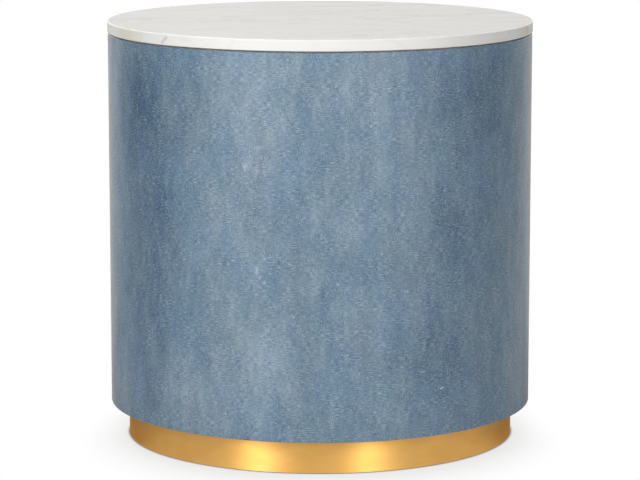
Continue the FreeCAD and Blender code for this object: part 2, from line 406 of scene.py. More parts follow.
@dataclass(frozen=True)
class WashedLinen(Finish):
    """Plain-woven linen, dyed, washed unevenly and sealed with a thin clear coat.

    Pairs of dyes make two colours that drift into each other. Pairs of shares are for the threads
    and for the specks. The broad dark patches at the drum's sides are painted shade, where the light
    falls off.
    """

    slot: str = "blue_linen"
    uv_map: str = "cloth"
    thread_pitch: float = 0.75 * MM
    dash_length: float = 5.5 * MM
    dash_width: float = 1.2 * MM
    dash_layers: tuple[float, ...] = (11.0, 13.0, 17.0)
    weave_depth: float = 0.07 * MM
    weave_share: float = 0.3
    deep: tuple[Colour, Colour] = (srgb(50, 84, 120), srgb(48, 86, 116))
    middle: tuple[Colour, Colour] = (srgb(107, 136, 160), srgb(116, 139, 157))
    pale: tuple[Colour, Colour] = (srgb(152, 174, 191), srgb(164, 180, 191))
    sea: Colour = srgb(108, 142, 153)
    bare: Colour = srgb(196, 212, 222)
    gap: Colour = srgb(48, 72, 92)
    dye: tuple[Mottle, ...] = (
        Mottle(18, 7, 0.0, 3.0, strength=0.24),
        Mottle(50, 17, 3.0, strength=0.58),
        Mottle(75, 6, 41.0, strength=0.10),
        Mottle(110, 55, 7.0, 3.0, 0.6, strength=0.50),
        Mottle(260, 230, 19.0, 2.0, 0.6, strength=0.36),
    )
    second_dye: Mottle = Mottle(22, 12, 23.0, 3.0, rising=(-0.16, 0.16))
    sea_tint: Mottle = Mottle(60, 26, 31.0, 3.0, rising=(0.02, 0.2), strength=0.45)
    wear: Mottle = Mottle(60, 36, 29.0, rising=(-0.15, 0.15), strength=0.7)
    least_wear: float = 0.7
    weft_shows: Mottle = Mottle(38, 60, 37.0, rising=(-0.12, 0.12))
    warp_level: float = 1.2
    weft_level: float = 0.8
    fleck_level: float = 0.6
    speck: Mottle = Mottle(800, 700, 53.0, 0.0)
    threads_tell: Span = (0.02, 0.36)
    specks_tell: Span = (0.17, 0.3)
    bare_shares: Span = (0.30, 0.4)
    gap_shares: Span = (0.38, 0.5)
    # Soft patches of the cloth; the full-height dark ones at each side are painted shade
    dye_and_shade_patches: tuple[DyeAndShadePatch, ...] = (
        # painted shade: a full-height darkening of the left side, where the light falls off
        DyeAndShadePatch(-0.236, 0.23, 0.080, 0.48, -0.24),
        DyeAndShadePatch(-0.250, 0.38, 0.065, 0.114, -0.27),
        DyeAndShadePatch(-0.196, 0.26, 0.042, 0.24, -0.14),
        DyeAndShadePatch(-0.164, 0.39, 0.038, 0.109, -0.14),
        DyeAndShadePatch(-0.120, 0.39, 0.03, 0.126, 0.06),
        DyeAndShadePatch(-0.082, 0.38, 0.057, 0.114, 0.07),
        DyeAndShadePatch(-0.044, 0.38, 0.03, 0.12, 0.09),
        DyeAndShadePatch(0.023, 0.41, 0.066, 0.069, 0.09),
        DyeAndShadePatch(-0.125, 0.33, 0.028, 0.039, -0.07),
        DyeAndShadePatch(0.106, 0.33, 0.035, 0.172, 0.07),
        DyeAndShadePatch(-0.109, 0.23, 0.054, 0.092, 0.08),
        DyeAndShadePatch(0.034, 0.24, 0.032, 0.048, 0.13),
        DyeAndShadePatch(-0.068, 0.09, 0.062, 0.10, 0.20),
        DyeAndShadePatch(-0.015, 0.08, 0.027, 0.069, -0.07),
        DyeAndShadePatch(0.023, 0.07, 0.037, 0.057, 0.07),
        DyeAndShadePatch(0.218, 0.40, 0.105, 0.11, -0.20),
        DyeAndShadePatch(0.157, 0.23, 0.062, 0.092, -0.14),
        DyeAndShadePatch(0.135, 0.1, 0.067, 0.103, -0.17),
        # painted shade: a full-height darkening of the right side, where the light falls off
        DyeAndShadePatch(0.205, 0.23, 0.1, 0.481, -0.09),
        DyeAndShadePatch(0.287, 0.11, 0.063, 0.195, 0.16),
        DyeAndShadePatch(-0.165, 0.05, 0.078, 0.06, 0.18),
        DyeAndShadePatch(-0.295, 0.04, 0.069, 0.08, 0.08),
        DyeAndShadePatch(-0.0728, 0.1985, 0.0035, 0.012, 0.45),
        DyeAndShadePatch(-0.0863, 0.317, 0.0035, 0.01, 0.40),
        DyeAndShadePatch(-0.0690, 0.3385, 0.009, 0.004, 0.25),
        DyeAndShadePatch(-0.0718, 0.3125, 0.007, 0.007, 0.22),
    )

    def tone(self, along: Wire, up: Wire) -> Wire:
        """How pale the cloth is: its dye, with patches, of which the broad dark ones at the drum's
        sides are painted shade.

        Args:
            along, up: metres along and up the cloth.

        Returns:
            From 0, where it is deep, to 1, where it is pale.
        """
        dye_and_shade_tones = [
            along.bench.length((along - dye_and_shade_patch.along) / dye_and_shade_patch.reach_along,
                               (up - dye_and_shade_patch.up) / dye_and_shade_patch.reach_up).rise(1.0, 0.0) * dye_and_shade_patch.tone
            for dye_and_shade_patch in self.dye_and_shade_patches
        ]
        return sum((layer.lay(along, up) for layer in self.dye), 0.5) + sum(dye_and_shade_tones[1:], dye_and_shade_tones[0])

    def threads(self, along: Wire, up: Wire) -> Wire:
        """Dashes of warp and weft, with flecks.

        Args:
            along, up: metres along and up the cloth.

        Returns:
            Their height about 0.
        """
        short, long = 1 / self.dash_width, 1 / self.dash_length
        dashes = zip((short, long, short), (long, short, short), self.dash_layers)
        warp, weft, fleck = (Mottle(*dash, detail=1.0).lay(along, up) for dash in dashes)
        weft_shows = self.weft_shows.lay(along, up)
        return (warp * (self.warp_level - weft_shows) + weft * (self.weft_level + weft_shows)
                + fleck * self.fleck_level)

    def draw(self) -> None:
        """Makes the material."""
        surface = Surface(self.title, {
            "Roughness": 0.6, "Specular IOR Level": 0.2,
            "Coat Weight": 0.8, "Coat Roughness": 0.4, "Coat IOR": 1.5,
            "Sheen Weight": 0.95, "Sheen Roughness": 0.15, "Sheen Tint": (1.0, 0.78, 0.58, 1.0),
        })
        bench = surface.bench
        cloth = bench.out("ShaderNodeUVMap", {"uv_map": self.uv_map})
        along, up, _ = bench.parts(cloth)

        tone = self.tone(along, up)
        shades = [
            bench.out("ShaderNodeValToRGB", {"stops": list(zip((0.0, 0.5, 1.0), colours))},
                      {"Fac": tone}, "Color")
            for colours in zip(self.deep, self.middle, self.pale)
        ]
        colour = bench.mix(self.second_dye.lay(along, up), *shades)
        colour = bench.mix(self.sea_tint.lay(along, up), colour, self.sea)

        wear = self.wear.lay(along, up) + self.least_wear
        threads, speck = self.threads(along, up), self.speck.lay(along, up)
        for side, (thread_share, speck_share), tint in (
                (1, self.bare_shares, self.bare), (-1, self.gap_shares, self.gap)):
            worn = threads.rise(*(side * at for at in self.threads_tell)) * wear * thread_share
            dotted = speck.rise(*(side * at for at in self.specks_tell)) * speck_share
            colour = bench.mix(worn + dotted, colour, tint)

        turns = math.pi / self.thread_pitch
        weave = bench.math("SINE", along * turns) * bench.math("SINE", up * turns)
        surface.dress(colour, weave * self.weave_share + threads + 0.5, self.weave_depth)


@dataclass(frozen=True)
class RaisedThread(Finish):
    """Slubs and lint on the linen, where the dye took less."""

    slot: str = "blue_linen"
    pale: Colour = srgb(196, 207, 215)
    dyed: Colour = srgb(132, 154, 174)
    dye_scale: float = 60.0
    shading: Span = (0.28, 0.5)
    fibre_scale: float = 2500.0
    fibre_depth: float = 0.05 * MM

    @property
    def title(self) -> str:
        """The material's name."""
        return "raised_thread"

    def draw(self) -> None:
        """Makes the material."""
        surface = Surface(self.title, {"Roughness": 0.7, "Specular IOR Level": 0.2})
        dye = surface.noise(self.dye_scale, detail=2)
        colour = surface.bench.mix(dye.rise(*self.shading), self.dyed, self.pale)
        surface.dress(colour, surface.noise(self.fibre_scale, detail=1), self.fibre_depth)


@dataclass(frozen=True)
class Blush:
    """A soft spot of another colour in the stone. Place and reach in metres."""

    at: Place
    reach: float
    colour: Colour
    strength: float


@dataclass(frozen=True)
class Veins:
    """Lines in the stone: features in a metre, how they wander, how fine and strong they are."""

    scale: Place
    wander: Span
    layer: float
    detail: float
    roughness: float
    edge: float
    strength: float

    def lay(self, place: Wire, bent: Wire) -> Wire:
        """Draws the lines.

        Args:
            place: object coordinates.
            bent: the noise that bends them.

        Returns:
            Their share of the colour.
        """
        bench = place.bench
        x, y, z = (part * scale for part, scale in zip(bench.parts(place), self.scale))
        drift = bench.vector(x + bent * self.wander[0], y + bent * self.wander[1], z + self.layer)
        ridge = 1 - abs(bench.noise(drift, detail=self.detail, roughness=self.roughness) - 0.5) * 2
        return ridge.rise(self.edge, 1.0) * self.strength


@dataclass(frozen=True)
class PolishedMarble(Finish):
    """White marble, polished above and honed on its rim, with faint veins and a few blushes; the rim
    is painted paler as painted light.
    """

    slot: str = "white_marble"
    ground: Colour = srgb(243, 242, 238)
    cloud: Colour = srgb(236, 235, 231)
    vein: Colour = srgb(186, 186, 182)
    # painted light: the rim's paler colour stands in for the light that its upright face catches
    rim: Colour = srgb(250, 250, 248)
    painted_light_on_rim: float = 0.6
    bending_scale: float = 5.0
    cloud_scale: float = 7.0
    shading: Span = (0.35, 0.68)
    hairs_in_clouds: Span = (0.45, 0.62)
    broad_veins: Veins = Veins((1.7, 6.0, 6.0), (0.8, 1.3), 0.0, 5.0, 0.55, 0.965, 0.25)
    hair_veins: Veins = Veins((6.0, 15.0, 15.0), (2.5, 3.0), 5.0, 4.0, 0.5, 0.97, 0.2)
    blushes: tuple[Blush, ...] = (
        Blush((0.241, -0.075, 0.4965), 0.014, srgb(226, 208, 198), 0.8),
        Blush((0.236, -0.092, 0.492), 0.030, srgb(236, 230, 214), 0.6),
        Blush((-0.224, -0.119, 0.492), 0.048, srgb(234, 231, 210), 0.85),
        Blush((-0.1798, -0.1802, 0.4935), 0.0034, srgb(150, 152, 150), 0.45),
        Blush((-0.1775, -0.1824, 0.4960), 0.0034, srgb(150, 152, 150), 0.45),
        Blush((-0.1752, -0.1846, 0.4985), 0.0034, srgb(150, 152, 150), 0.45),
    )
    honed_from: Span = (0.2525, 0.2538)
    polish: float = 0.13
    cloud_dulls: float = 0.06
    honing_dulls: float = 0.4
    pore_scale: float = 900.0
    pore_depth: float = 0.004 * MM

    def draw(self) -> None:
        """Makes the material."""
        surface = Surface(self.title, {"Roughness": 0.16, "Specular IOR Level": 0.5})
        bench, place = surface.bench, surface.place()
        x, y, z = bench.parts(place)
        bent = surface.noise(self.bending_scale, detail=4) - 0.5
        clouds = surface.noise(self.cloud_scale, detail=5, roughness=0.6)
        hairs = self.hair_veins.lay(place, bent) * clouds.rise(*self.hairs_in_clouds)
        rim = bench.length(x, y).rise(*self.honed_from)

        colour = bench.mix(clouds.rise(*self.shading), self.ground, self.cloud)
        colour = bench.mix(self.broad_veins.lay(place, bent), colour, self.vein)
        colour = bench.mix(hairs, colour, self.vein)
        # painted light on the rim; the same mask also dulls the rim, as honed stone, below
        colour = bench.mix(rim * self.painted_light_on_rim, colour, self.rim)
        for blush in self.blushes:
            far = bench.length(*(value - centre for value, centre in zip((x, y, z), blush.at)))
            spot = (far + bent * blush.reach).rise(blush.reach, 0.0)
            colour = bench.mix(spot * blush.strength, colour, blush.colour)

        roughness = self.polish + clouds * self.cloud_dulls + rim * self.honing_dulls
        pores = surface.noise(self.pore_scale, detail=1)
        surface.dress(colour, pores, self.pore_depth, roughness)


@dataclass(frozen=True)
class SatinBrass(Finish):
    """Brass strip, brushed along its length and lacquered."""

    slot: str = "satin_brass"
    metal: Colour = (0.91, 0.515, 0.125, 1.0)
    deep: Colour = (0.87, 0.475, 0.11, 1.0)
    radius: float = 0.2325
    brush_pitch: float = 0.25 * MM
    brush_length: float = 0.06
    rubbing: Place = (30, 60, 2.0)
    shading: Span = (0.3, 0.7)
    satin: float = 0.47
    brush_dulls: float = 0.12
    rubbing_dulls: float = 0.06
    brush_depth: float = 0.01 * MM

    def draw(self) -> None:
        """Makes the material."""
        surface = Surface(self.title, {
            "Metallic": 1.0, "Anisotropic": 0.85, "Anisotropic Rotation": 0.25,
            "Specular Tint": (0.85, 0.55, 0.25, 1.0),
            "Coat Weight": 0.8, "Coat Roughness": 0.5, "Coat IOR": 1.45,
        })
        bench = surface.bench
        x, y, z = bench.parts(surface.place())
        along = bench.math("ARCTAN2", x, -y) * self.radius
        lines = bench.vector(along / self.brush_length, z / self.brush_pitch, 0.0)
        scratches = bench.noise(lines, detail=3, roughness=0.6)
        rounds, levels, layer = self.rubbing
        rubbed = bench.noise(bench.vector(along * rounds, z * levels, layer), detail=3)
        colour = bench.mix(rubbed.rise(*self.shading), self.metal, self.deep)
        roughness = (self.satin + (scratches - 0.5) * self.brush_dulls
                     + (rubbed - 0.5) * self.rubbing_dulls)
        surface.dress(colour, scratches, self.brush_depth, roughness)


@dataclass(frozen=True)
class RawBoard(Finish):
    """Fibreboard, sanded but not painted."""

    slot: str = "board"
    pale: Colour = srgb(186, 158, 122)
    dark: Colour = srgb(150, 120, 86)
    fibre_scale: float = 700.0
    mottle_scale: float = 45.0
    fibre_share: float = 0.6
    shading: Span = (0.35, 0.65)
    fibre_depth: float = 0.06 * MM

    def draw(self) -> None:
        """Makes the material."""
        surface = Surface(self.title, {"Roughness": 0.78, "Specular IOR Level": 0.3})
        fibres = surface.noise(self.fibre_scale, detail=3, roughness=0.7)
        mottle = surface.noise(self.mottle_scale, detail=3)
        tone = fibres * self.fibre_share + mottle * (1 - self.fibre_share)
        colour = surface.bench.mix(tone.rise(*self.shading), self.dark, self.pale)
        surface.dress(colour, fibres, self.fibre_depth)


@dataclass(frozen=True)
class BentPly(Finish):
    """Flexible plywood, with its grain running up the drum."""

    slot: str = "plywood"
    pale: Colour = srgb(208, 178, 138)
    dark: Colour = srgb(172, 134, 92)
    grain_lines: Span = (260, 7)
    pore_lines: Span = (1600, 90)
    shading: Span = (0.36, 0.66)
    grain_depth: float = 0.08 * MM

    def draw(self) -> None:
        """Makes the material."""
        surface = Surface(self.title, {"Roughness": 0.7, "Specular IOR Level": 0.35})
        grain = surface.grain(self.grain_lines, detail=4, distortion=0.4)
        pores = surface.grain(self.pore_lines, detail=1)
        colour = surface.bench.mix(grain.rise(*self.shading), self.pale, self.dark)
        surface.dress(colour, (grain + pores) * 0.5, self.grain_depth)


@dataclass(frozen=True)
class PlanedSoftwood(Finish):
    """Planed pine, with its rings showing as lines along each strut."""

    slot: str = "softwood"
    early: Colour = srgb(220, 188, 140)
    late: Colour = srgb(178, 130, 78)
    wander_lines: Span = (6, 2.5)
    wander: float = 0.05
    ring_slant: float = 0.6
    ring_radians_a_metre: float = 1900
    ring_share: float = 0.32
    streak_lines: Span = (900, 14)
    streak_share: float = 0.6
    shading: Span = (0.05, 0.65)
    streak_depth: float = 0.05 * MM

    def draw(self) -> None:
        """Makes the material."""
        surface = Surface(self.title, {"Roughness": 0.62, "Specular IOR Level": 0.4})
        bench = surface.bench
        x, y, _ = bench.parts(surface.place())
        bent = (surface.grain(self.wander_lines, detail=2) - 0.5) * self.wander
        across = x + y * self.ring_slant + bent
        rings = bench.math("SINE", across * self.ring_radians_a_metre)
        streaks = surface.grain(self.streak_lines, detail=2)
        tone = rings * self.ring_share + streaks * self.streak_share
        colour = bench.mix(tone.rise(*self.shading), self.early, self.late)
        surface.dress(colour, streaks, self.streak_depth)


@dataclass(frozen=True)
class ZincPlate(Finish):
    """Steel with a bright zinc plating, a little clouded."""

    slot: str = "zinc_steel"
    bright: Colour = (0.66, 0.66, 0.65, 1.0)
    cloudy: Colour = (0.52, 0.54, 0.56, 1.0)
    cloud_scale: float = 260.0
    shading: Span = (0.35, 0.65)
    polish: float = 0.26
    cloud_dulls: float = 0.2
    turning_scale: float = 2600.0
    turning_depth: float = 0.01 * MM

    def draw(self) -> None:
        """Makes the material."""
        surface = Surface(self.title, {"Metallic": 1.0})
        clouds = surface.noise(self.cloud_scale, detail=3)
        colour = surface.bench.mix(clouds.rise(*self.shading), self.bright, self.cloudy)
        surface.dress(colour, surface.noise(self.turning_scale, detail=1), self.turning_depth,
                      self.polish + clouds * self.cloud_dulls)


@dataclass(frozen=True)
class MouldedNylon(Finish):
    """Black nylon with the fine texture of its mould, rubbed grey on the sole."""

    slot: str = "black_nylon"
    black: Colour = srgb(38, 38, 40)
    rubbed: Colour = srgb(66, 66, 68)
    sole: float = 0.8 * MM
    spark_scale: float = 3200.0
    spark_depth: float = 0.03 * MM
    scuff_scale: float = 420.0
    shading: Span = (0.42, 0.62)
    polish: float = 0.48
    scuff_dulls: float = 0.2

    def draw(self) -> None:
        """Makes the material."""
        surface = Surface(self.title, {"Specular IOR Level": 0.45})
        _, _, z = surface.bench.parts(surface.place())
        scuffs = surface.noise(self.scuff_scale, detail=3)
        worn = z.rise(self.sole, 0.0) * scuffs.rise(*self.shading)
        surface.dress(surface.bench.mix(worn, self.black, self.rubbed),
                      surface.noise(self.spark_scale, detail=1), self.spark_depth,
                      self.polish + scuffs * self.scuff_dulls)


@dataclass(frozen=True)
class ClearRubber(Finish):
    """Soft clear rubber, slightly milky."""

    slot: str = "clear_rubber"
    milky: Colour = srgb(205, 206, 200)
    dusty: Colour = srgb(184, 184, 178)
    dust_scale: float = 500.0
    shading: Span = (0.4, 0.7)
    dust_depth: float = 0.02 * MM

    def draw(self) -> None:
        """Makes the material."""
        surface = Surface(self.title, {"Roughness": 0.35, "Specular IOR Level": 0.5, "IOR": 1.42})
        dust = surface.noise(self.dust_scale, detail=3)
        colour = surface.bench.mix(dust.rise(*self.shading), self.milky, self.dusty)
        surface.dress(colour, dust, self.dust_depth)


# ---- meshes ----


def arc(centre: Point, radius: float, first: float, last: float, steps: int) -> list[Point]:
    """Points along a circular arc.

    Args:
        centre: the arc's centre.
        radius: its radius.
        first, last: the angles at its ends, in degrees.
        steps: into how many chords it is cut.

    Returns:
        steps + 1 points.
    """
    turns = np.radians(np.linspace(first, last, steps + 1))
    return [(centre[0] + radius * math.cos(t), centre[1] + radius * math.sin(t)) for t in turns]


def circle(radius: float, count: int, offset: float = 0.0) -> list[Point]:
    """Points evenly spaced round the axis, the first turned by a share of their spacing."""
    turns = [FULL_TURN * (n + offset) / count for n in range(count)]
    return [(radius * math.cos(turn), radius * math.sin(turn)) for turn in turns]


def facing(turn: float, radius: float) -> Point:
    """The point at a radius, in a direction from the front in radians."""
    return (radius * math.sin(turn), -radius * math.cos(turn))


def seam_sides(gap: float, radius: float) -> Span:
    """The directions of the two sides of a seam at the back."""
    half_gap = gap / 2 / radius
    return (half_gap - math.pi, math.pi - half_gap)


class Draft:
    """A mesh being drawn, in metres in the row frame."""

    SHARP = math.radians(32)
    ON_AXIS = 1e-9
    THREAD_TIP = 0.12
    THREAD_TAPER = 0.6

    def __init__(self) -> None:
        """Starts with nothing."""
        self.points: list[Place] = []
        self.faces: list[tuple[int, ...]] = []

    def row(self, places: Iterable[Sequence[float]]) -> list[int]:
        """Adds points.

        Args:
            places: where they are.

        Returns:
            Their numbers.
        """
        first = len(self.points)
        self.points += [tuple(place) for place in places]
        return list(range(first, len(self.points)))

    def ring(self, outline: Iterable[Point], level: float) -> list[int]:
        """Adds a level outline's points, and gives their numbers."""
        return self.row((x, y, level) for x, y in outline)

    def grid(self, rows: Sequence[Sequence[int]], turned: bool = False) -> None:
        """Adds faces between rows of points that close round on themselves.

        Args:
            rows: the points' numbers. A pole is one number all along its row.
            turned: whether the faces turn the other way.
        """
        for lower, upper in zip(rows, rows[1:]):
            for i in range(len(lower)):
                j = (i + 1) % len(lower)
                corners = (lower[i], lower[j], upper[j], upper[i])
                if turned:
                    corners = (lower[i], upper[i], upper[j], lower[j])
                self.faces.append(tuple(dict.fromkeys(corners)))

    def tube(self, rows: Sequence[Sequence[int]], turned: bool = False) -> None:
        """Adds faces between rows as grid() does, and a cap at each end.

        Args:
            rows: the points' numbers.
            turned: whether the faces turn the other way.
        """
        self.grid(rows, turned)
        first, last = tuple(rows[0]), tuple(rows[-1])
        self.faces += [first, last[::-1]] if turned else [first[::-1], last]

    def turn(self, profile: Sequence[Point], segments: int) -> list[int]:
        """A solid of revolution round the axis.

        Args:
            profile: (radius, level) points, either from the bottom of the axis, out and up, to its
                top, or clear of the axis and back to the first point.
            segments: the number of sides of each circle.

        Returns:
            The numbers of the last circle's points.
        """
        rows: dict[Point, list[int]] = {}
        for radius, level in dict.fromkeys(profile):
            if radius < self.ON_AXIS:
                rows[radius, level] = self.ring([(0.0, 0.0)], level) * segments
            else:
                rows[radius, level] = self.ring(circle(radius, segments), level)
        self.grid([rows[point] for point in profile])
        return rows[profile[-1]]

    def fill(self, *loops: Sequence[int]) -> None:
        """Adds a level face.

        Args:
            loops: the points round it, then those round each hole in it.
        """
        corners = [[Vector(self.points[i]) for i in loop] for loop in loops]
        numbers = [i for loop in loops for i in loop]
        self.faces += [tuple(numbers[i] for i in piece) for piece in tessellate_polygon(corners)]

    def bend(self, outline: Sequence[Point], gap: float, segments: int) -> None:
        """A strip bent round the axis into a ring whose capped ends nearly meet at the back.

        Args:
            outline: the closed section as (radius, level) points, anticlockwise.
            gap: the width of the gap between the ends.
            segments: the number of chords round.
        """
        sides = seam_sides(gap, max(radius for radius, _ in outline))
        self.tube([
            self.row((*facing(turn, radius), level) for radius, level in outline)
            for turn in np.linspace(*sides, segments + 1)
        ], turned=True)

    def prism(self, outline: Sequence[Point], low: float, high: float, ease: float) -> None:
        """An upright prism with eased ends.

        Args:
            outline: its (x, y) points, anticlockwise from above.
            low, high: the levels of its ends.
            ease: how far the ends' edges are eased.
        """
        scale = 1 - ease / max(math.hypot(x, y) for x, y in outline)
        eased = [(x * scale, y * scale) for x, y in outline]
        levels = ((eased, low), (outline, low + ease), (outline, high - ease), (eased, high))
        self.tube([self.ring(points, level) for points, level in levels])

    def thread(self, path: Sequence[Vector], radius: float, sides: int = 5) -> None:
        """A thread of cloth or lint, thinning to a point at both ends.

        Args:
            path: points along its middle.
            radius: its radius half way.
            sides: the number of its sides.
        """
        rows = []
        steps = len(path) - 1
        for i, place in enumerate(path):
            along = (path[min(i + 1, steps)] - path[max(i - 1, 0)]).normalized()
            side = along.orthogonal().normalized()
            up = along.cross(side)
            fullness = math.sin(math.pi * i / steps) ** self.THREAD_TAPER
            thick = radius * (self.THREAD_TIP + (1 - self.THREAD_TIP) * fullness)
            rows.append(self.row(
                place + (side * x + up * y) * thick for x, y in circle(1.0, sides)))
        self.tube(rows)

    def mesh(self, name: str, closed: bool = True) -> bpy.types.Mesh:
        """Finishes the mesh, smooth but for its sharp edges.

        Args:
            name: its name.
            closed: whether it is closed, so that its faces can be turned outwards.

        Returns:
            The mesh.
        """
        made = bpy.data.meshes.new(name)
        made.from_pydata(self.points, [], self.faces)
        if closed:
            work = bmesh.new()
            work.from_mesh(made)
            bmesh.ops.recalc_face_normals(work, faces=work.faces)
            work.to_mesh(made)
            work.free()
        made.polygons.foreach_set("use_smooth", [True] * len(made.polygons))
        made.set_sharp_from_angle(angle=self.SHARP)
        made.update()
        return made


def in_scene(name: str, data: bpy.types.ID) -> bpy.types.Object:
    """Puts a mesh, a lamp or a camera in the scene.

    Args:
        name: the object's name.
        data: what it holds.

    Returns:
        The object.
    """
    made = bpy.data.objects.new(name, data)
    bpy.context.scene.collection.objects.link(made)
    return made


class Growth:
    """A Geometry Nodes tree with named inputs, which grows a mesh out of the one it is given."""

    KINDS = {
        float: "NodeSocketFloat",
        int: "NodeSocketInt",
        bpy.types.Mesh: "NodeSocketObject",
        bpy.types.Material: "NodeSocketMaterial",
    }

    def __init__(self, name: str, inputs: dict[str, type]) -> None:
        """Starts the tree.

        Args:
            name: the tree's name.
            inputs: its inputs' names and kinds, apart from the geometry and the material.
        """
        self.group = bpy.data.node_groups.new(name, "GeometryNodeTree")
        face = self.group.interface
        for way in ("OUTPUT", "INPUT"):
            face.new_socket("Geometry", in_out=way, socket_type="NodeSocketGeometry")
        self.keys: dict[str, str] = {}
        for title, kind in {**inputs, "Material": bpy.types.Material}.items():
            socket = face.new_socket(title, in_out="INPUT", socket_type=self.KINDS[kind])
            self.keys[title] = socket.identifier
        self.bench = Bench(self.group)
        self.inputs = self.bench.node("NodeGroupInput")

    def given(self, title: str) -> Wire:
        """One of the tree's inputs."""
        return self.bench.wire(self.inputs, title)

    def shape(self, title: str) -> Wire:
        """The geometry of an input that is a mesh."""
        return self.bench.out("GeometryNodeObjectInfo", inputs={"Object": self.given(title)},
                              key="Geometry")

    def join(self, *parts: Wire) -> Wire:
        """Makes several geometries one.

        Args:
            parts: the geometries.

        Returns:
            All of them.
        """
        joined = self.bench.node("GeometryNodeJoinGeometry")
        for part in parts:
            self.bench.tree.links.new(part.socket, joined.inputs[0])
        return self.bench.wire(joined)

    def set_out(self, piece: Wire, points: Wire, **more: Wire) -> Wire:
        """A piece at each point."""
        return self.bench.out("GeometryNodeInstanceOnPoints",
                              inputs={"Points": points, "Instance": piece, **more})

    def end(self, geometry: Wire) -> "Growth":
        """Realises the instances, gives all of it the material, and closes the tree.

        Args:
            geometry: what the tree has made.

        Returns:
            This tree.
        """
        real = self.bench.out("GeometryNodeRealizeInstances", inputs={"Geometry": geometry})
        dressed = self.bench.out("GeometryNodeSetMaterial", inputs={
            "Geometry": real, "Material": self.given("Material"),
        })
        self.bench.node("NodeGroupOutput", inputs={"Geometry": dressed})
        return self

    def grow(self, name: str, start: bpy.types.Mesh, values: dict[str, Any],
             finish: Finish) -> bpy.types.Mesh:
        """Runs the tree.

        Args:
            name: the grown mesh's name.
            start: the mesh that the tree is given.
            values: numbers and meshes for its inputs, by name.
            finish: the finish whose material the result gets.

        Returns:
            The result as a plain mesh.
        """
        base = in_scene("growing", start)
        helpers = [base]
        modifier = base.modifiers.new("growth", "NODES")
        modifier.node_group = self.group
        for title, value in {**values, "Material": finish.material()}.items():
            if isinstance(value, bpy.types.Mesh):
                value = in_scene("given", value)
                helpers.append(value)
            modifier[self.keys[title]] = value
        graph = bpy.context.evaluated_depsgraph_get()
        grown = bpy.data.meshes.new_from_object(base.evaluated_get(graph), depsgraph=graph)
        grown.name = name
        for helper in helpers:
            bpy.data.objects.remove(helper)
        return grown


@cache
def threaded_fasteners() -> Growth:
    """The tree for screws and studs: a core with a right-hand thread on it, at each point.

    Returns:
        The tree.
    """
    tree = Growth("threaded_fasteners", {
        "Core": bpy.types.Mesh, "Crest Radius": float, "Thread Depth": float, "Pitch": float,
        "Turns": float, "First Level": float, "Steps a Turn": int, "Tilt": float,
    })
    bench = tree.bench
    depth, pitch, turns = (tree.given(title) for title in ("Thread Depth", "Pitch", "Turns"))
    middle = tree.given("Crest Radius") - depth
    helix = bench.out("GeometryNodeCurveSpiral", inputs={
        "Resolution": tree.given("Steps a Turn"), "Rotations": turns,
        "Start Radius": middle, "End Radius": middle, "Height": pitch * turns, "Reverse": True,
    })
    upright = bench.out("GeometryNodeSetCurveNormal", {"mode": "Z_UP"}, {"Curve": helix})
    ridge = bench.out("GeometryNodeCurvePrimitiveCircle", inputs={"Resolution": 4, "Radius": depth})
    swept = bench.out("GeometryNodeCurveToMesh", inputs={
        "Curve": upright, "Profile Curve": ridge, "Fill Caps": True,
    })
    raised = bench.out("GeometryNodeTransform", inputs={
        "Geometry": swept, "Translation": bench.vector(0.0, 0.0, tree.given("First Level")),
    })
    return tree.end(tree.set_out(tree.join(tree.shape("Core"), raised), tree.given("Geometry"),
                                 Rotation=bench.vector(tree.given("Tilt"), 0.0, 0.0)))


def ribbed_rims() -> Growth:
    """The tree for moulded knobs and feet: ribs evenly spaced round the piece that is given.

    Returns:
        The tree.
    """
    tree = Growth("ribbed_rims", {"Rib": bpy.types.Mesh, "Count": int, "Radius": float})
    bench = tree.bench
    rim = bench.out("GeometryNodeMeshCircle", inputs={
        "Vertices": tree.given("Count"), "Radius": tree.given("Radius"),
    })
    outwards = bench.out("FunctionNodeAlignRotationToVector", {"axis": "X", "pivot_axis": "Z"},
                         {"Vector": bench.out("GeometryNodeInputPosition")})
    ribs = tree.set_out(tree.shape("Rib"), rim, Rotation=outwards)
    return tree.end(tree.join(tree.given("Geometry"), ribs))


def set_out_discs() -> Growth:
    """The tree for equal pieces laid out on a board: the disc that is named, at each point."""
    tree = Growth("set_out_discs", {"Disc": bpy.types.Mesh})
    return tree.end(tree.set_out(tree.shape("Disc"), tree.given("Geometry")))


